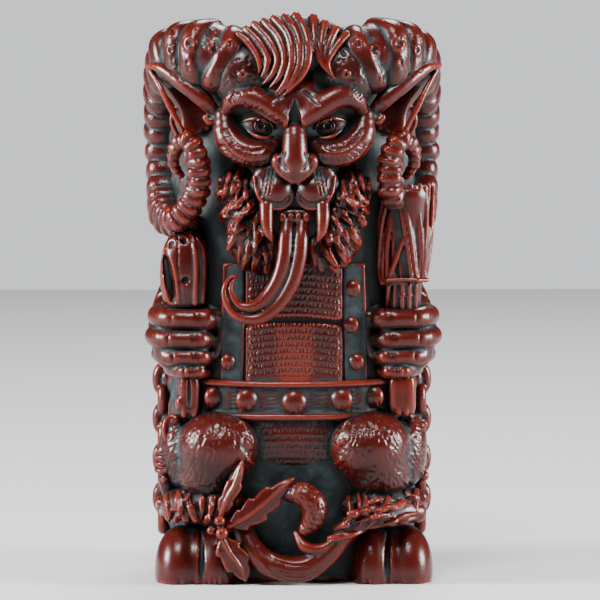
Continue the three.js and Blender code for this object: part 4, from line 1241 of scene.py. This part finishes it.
# ---------------------------------------------------------------- the tail
# The tail lies curled on the ground between the hooves. Its end is combed out into a brush of hair,
# and its furred tip is tucked up in the middle of the curl.
tail = Clay((-24, -52, -1), (48, -24, 36), 0.46)
tail_path = [(-17.5, -39, 21), (-14.2, -42.6, 12), (-7.4, -44.4, 6.6), (2.4, -44.8, 5.4), (10.4, -44.2, 10),
             (16.4, -43.2, 16.6), (23.6, -42.4, 22), (31, -40.4, 24.4), (41, -33.5, 23)]
tail_line = bend(tail_path, 44)
tail.add(rod(tail_line, taper([3.4, 3.9, 4.4, 4.5, 3.9, 3.4, 3.6, 4.4, 3.4], 44)))
fold = bend([(0.2, -44.8, 17.6), (3.4, -46.4, 13), (9.4, -46.2, 12.4), (15.6, -45, 17.8)], 14)
tail.add(rod(fold, taper([0.8, 2.0, 2.0, 0.6], 14)), 0.4)
for k, shift in enumerate(np.linspace(-2.4, 2.6, 5)):
    stripe = [(-13 + k * 0.4, 13 + shift * 0.4), (-6, 6 + shift), (3, 4.6 + shift), (11, 9.6 + shift),
              (16.5, 15.5 + shift)]
    tail.score([bend(stripe, 16)], [0.2, 0.42, 0.42, 0.2], 0.02, blend=0.5)
for k in range(30):
    t = rng.uniform(0, 1)
    x = 17 + 27 * t
    z = 18 + 7.4 * min(t * 2, 1) + rng.uniform(-3.8, 4.2)
    lean = rng.normal(0, 1.2)
    strand = [(x, z), (x - 4.6, z + lean * 0.7), (x - 8.6, z - 1.6 + lean * 0.4), (x - 12, z - 4.4 - lean)]
    tail.trace([bend(strand, 12)], [0.3, 0.95, 0.85, 0.15], [0, 0.7, 0.7, 0.6], blend=0.2)
for strand in ([(22, 27.4), (17.6, 27.2), (13.4, 28.6)], [(24, 25), (19, 24.4), (14.2, 25.4)],
               [(17, 20.6), (12, 17.8), (9.6, 18.4)]):
    tail.trace([bend(strand, 8)], [1.5, 1.4, 0.3], [0.4, 0.8, 0.8], blend=0.3)
tail.trim(2, low=0.2)
tail.cut(inside)
fire(tail, "tail_and_brush", ["tail"], hair_glaze)

tuft = Clay((-8, -53, 12), (14, -38, 38), 0.40)
bean = [(-1.6, -42.6, 30.4), (2.4, -44, 30.6), (6.2, -44.8, 27), (6.2, -45, 22.4), (3.4, -44.6, 18.4)]
tuft.add(rolled(bean, [3.0, 4.1, 4.5, 3.9, 2.2], 16))
pricks = []
for _ in range(70):
    x, z = rng.uniform(-3, 10.5), rng.uniform(17, 34)
    pricks.append([(x, z), (x + rng.uniform(0.2, 1.0), z - rng.uniform(0.6, 1.3))])
tuft.score(pricks, [0.4, 0.15], 0.02, blend=0.3)
fire(tuft, "tail_tip_tuft", ["tail_tuft"], hair_glaze)

# ---------------------------------------------------------------- the bell
# A small ribbed bell on a strap end, hanging down the outside of the left knee from a ring.
bell = Clay((-50, -38, 22), (-33, -18, 58), 0.44)
bell.add(rod([(-39.6, -30.5, 54), (-42.4, -29.5, 49), (-43.2, -28.6, 44)], [2.0, 2.2, 2.4]))
for z, size in ((43.6, 2.9), (41.4, 3.2), (39.2, 3.4), (37.0, 3.7)):
    bell.add(ball((-43, -28.6, z), (size, size, 1.5)), 0.2)
bell.cut(ball((-43, -29.4, 34.4), (2.8, 2.8, 1.6)), 0.3)
bell.add(ball((-43, -29.4, 34.4), (1.4, 1.4, 1.4)), 0.2)
ring = [(-40.6 + 2.6 * math.cos(a), -31.5 + 0.6 * math.sin(a), 51 + 4.2 * math.sin(a))
        for a in np.linspace(0, FULL_TURN, 22)]
bell.add(rod(ring, [0.95] * 22), 0.3)
bell.add(rod([(-43, -27, 34), (-41, -25, 28)], [2.4, 2.8]), 1)
bell.cut(inside)
fire(bell, "ribbed_bell", ["bell"], skin_glaze)

# ---------------------------------------------------------------- the chains
# A chain down each side of the mug: rings rolled from a thin rope, laid flat and on edge by turns.
for side, word in SIDES:
    low, high = corners("chain_" + word)
    chain = side_clay(side, (38, -10, low[2] - 3), (49, 7, high[2] + 3), 0.57)
    top, bottom = high[2] - 3.6, low[2] + 3.6
    for k, z in enumerate(np.linspace(top, bottom, 8)):
        turn = np.linspace(0, FULL_TURN, 22)
        tall_half, half = 4.0, 2.7
        if k % 2:
            link = [(side * 43.4, -1.5 + half * math.cos(a), z + tall_half * math.sin(a)) for a in turn]
        else:
            link = [(side * (43.2 + 2.0 * math.cos(a)), -1.5, z + tall_half * math.sin(a)) for a in turn]
        chain.add(rod(link, [1.95] * 22), 0.1)
        chain.add(ball((side * 41.8, -1.5, z), (2.6, 2.8, 4.4)), 0.3)
    chain.add(rod([(side * 40.6, -1.5, high[2] - 3), (side * 40.6, -1.5, low[2] + 3)], [2.6, 2.6]), 0.6)
    chain.cut(inside)
    fire(chain, "side_chain_" + word, ["chain_" + word], skin_glaze)

# ---------------------------------------------------------------- the back
# The mane falls from the rim in long wavy locks, and below it the goat's pelt hangs in shorter
# pointed locks down to a ragged hem. The wall between is left with the marks of the tool.
for name, node, angles, heights, rows, drop, thick in (
        ("back_of_mane", "back_mane", (112, 248), (106, 170), (173, 161, 150, 139, 128, 118), 27, 2.3),
        ("back_of_pelt", "back_pelt", (108, 252), (15, 100), (101, 90, 79, 68, 57, 46, 36), 24, 2.3)):
    low, high = corners(node)
    fur = Clay((low[0] - 4, low[1] - 3, low[2] - 6), (high[0] + 4, high[1] + 3.5, high[2] + 4), 0.78)
    fur.add(column(heights[0] + 12, heights[1] - 4, 0.25))
    turn = np.degrees(np.arctan2(fur.axes[0][:, None], -fur.axes[1][None, :])) % 360
    off = np.maximum(angles[0] - turn + 5, turn + 5 - angles[1])[:, :, None].astype(np.float32) * 0.65
    fur.field = np.maximum(fur.field, off)
    for row, top in enumerate(reversed(rows)):
        for k in range(18):
            angle = angles[0] + (angles[1] - angles[0]) * (k + 0.25 + 0.5 * (row % 2)) / 18
            angle += rng.normal(0, 1.6)
            sway = 4.5 * math.sin(math.radians(angle * 3 + row * 50)) + rng.normal(0, 1.6)
            start = min(top + rng.normal(0, 2.2), rows[0] + 1)
            length = min(drop * rng.uniform(0.7, 1.2), start - heights[0] + rng.uniform(-4, 7))
            for shift in (-2.5, 2.5, 0):
                t = np.linspace(0, 1, 10)
                swing = sway * np.sin(t * 4.2) * t
                path = np.column_stack([angle + swing + shift * (1 - t) ** 0.7 * 1.15, start - t * length])
                fur.trace([path], [thick * 0.6, thick * 0.8, thick * 0.62, 0.45],
                          [-0.9, 0.1 + (shift == 0) * 0.4, 0.5 + (shift == 0) * 0.4, 0.3], winding=True,
                          blend=0.25)
    if node == "back_mane":
        fur.add(rod([around(200, 174, -1), around(212, 175.5, -1), around(224, 173, -1)], [3.6, 5.2, 3.6]),
                1)
    fur.cut(inside)
    fire(fur, name, [node], hair_glaze)

# ---------------------------------------------------------------- the wash and the painted shade
# A dark blue-black wash was brushed over the whole mug and wiped off the high places. How shut in a
# point is, near, farther and wide around it, is read out of the block of space and kept on it. The
# glaze reads it for the wash, and also for painted shade in the hollows and a painted highlight on
# the high edges.
for word, span in (("near", 0.8), ("mid", 2.2), ("wide", 6.0)):
    air = Clay.__new__(Clay)
    air.cell, air.low = whole.cell, whole.low
    air.field = blurred(whole.field, max(1, round(span / whole.cell)))
    for piece, points in shaped:
        shut = ((air.probe(points) - 0.5) * 2).astype(np.float32)
        piece.data.attributes.new(word, "FLOAT", "POINT").data.foreach_set("value", shut)
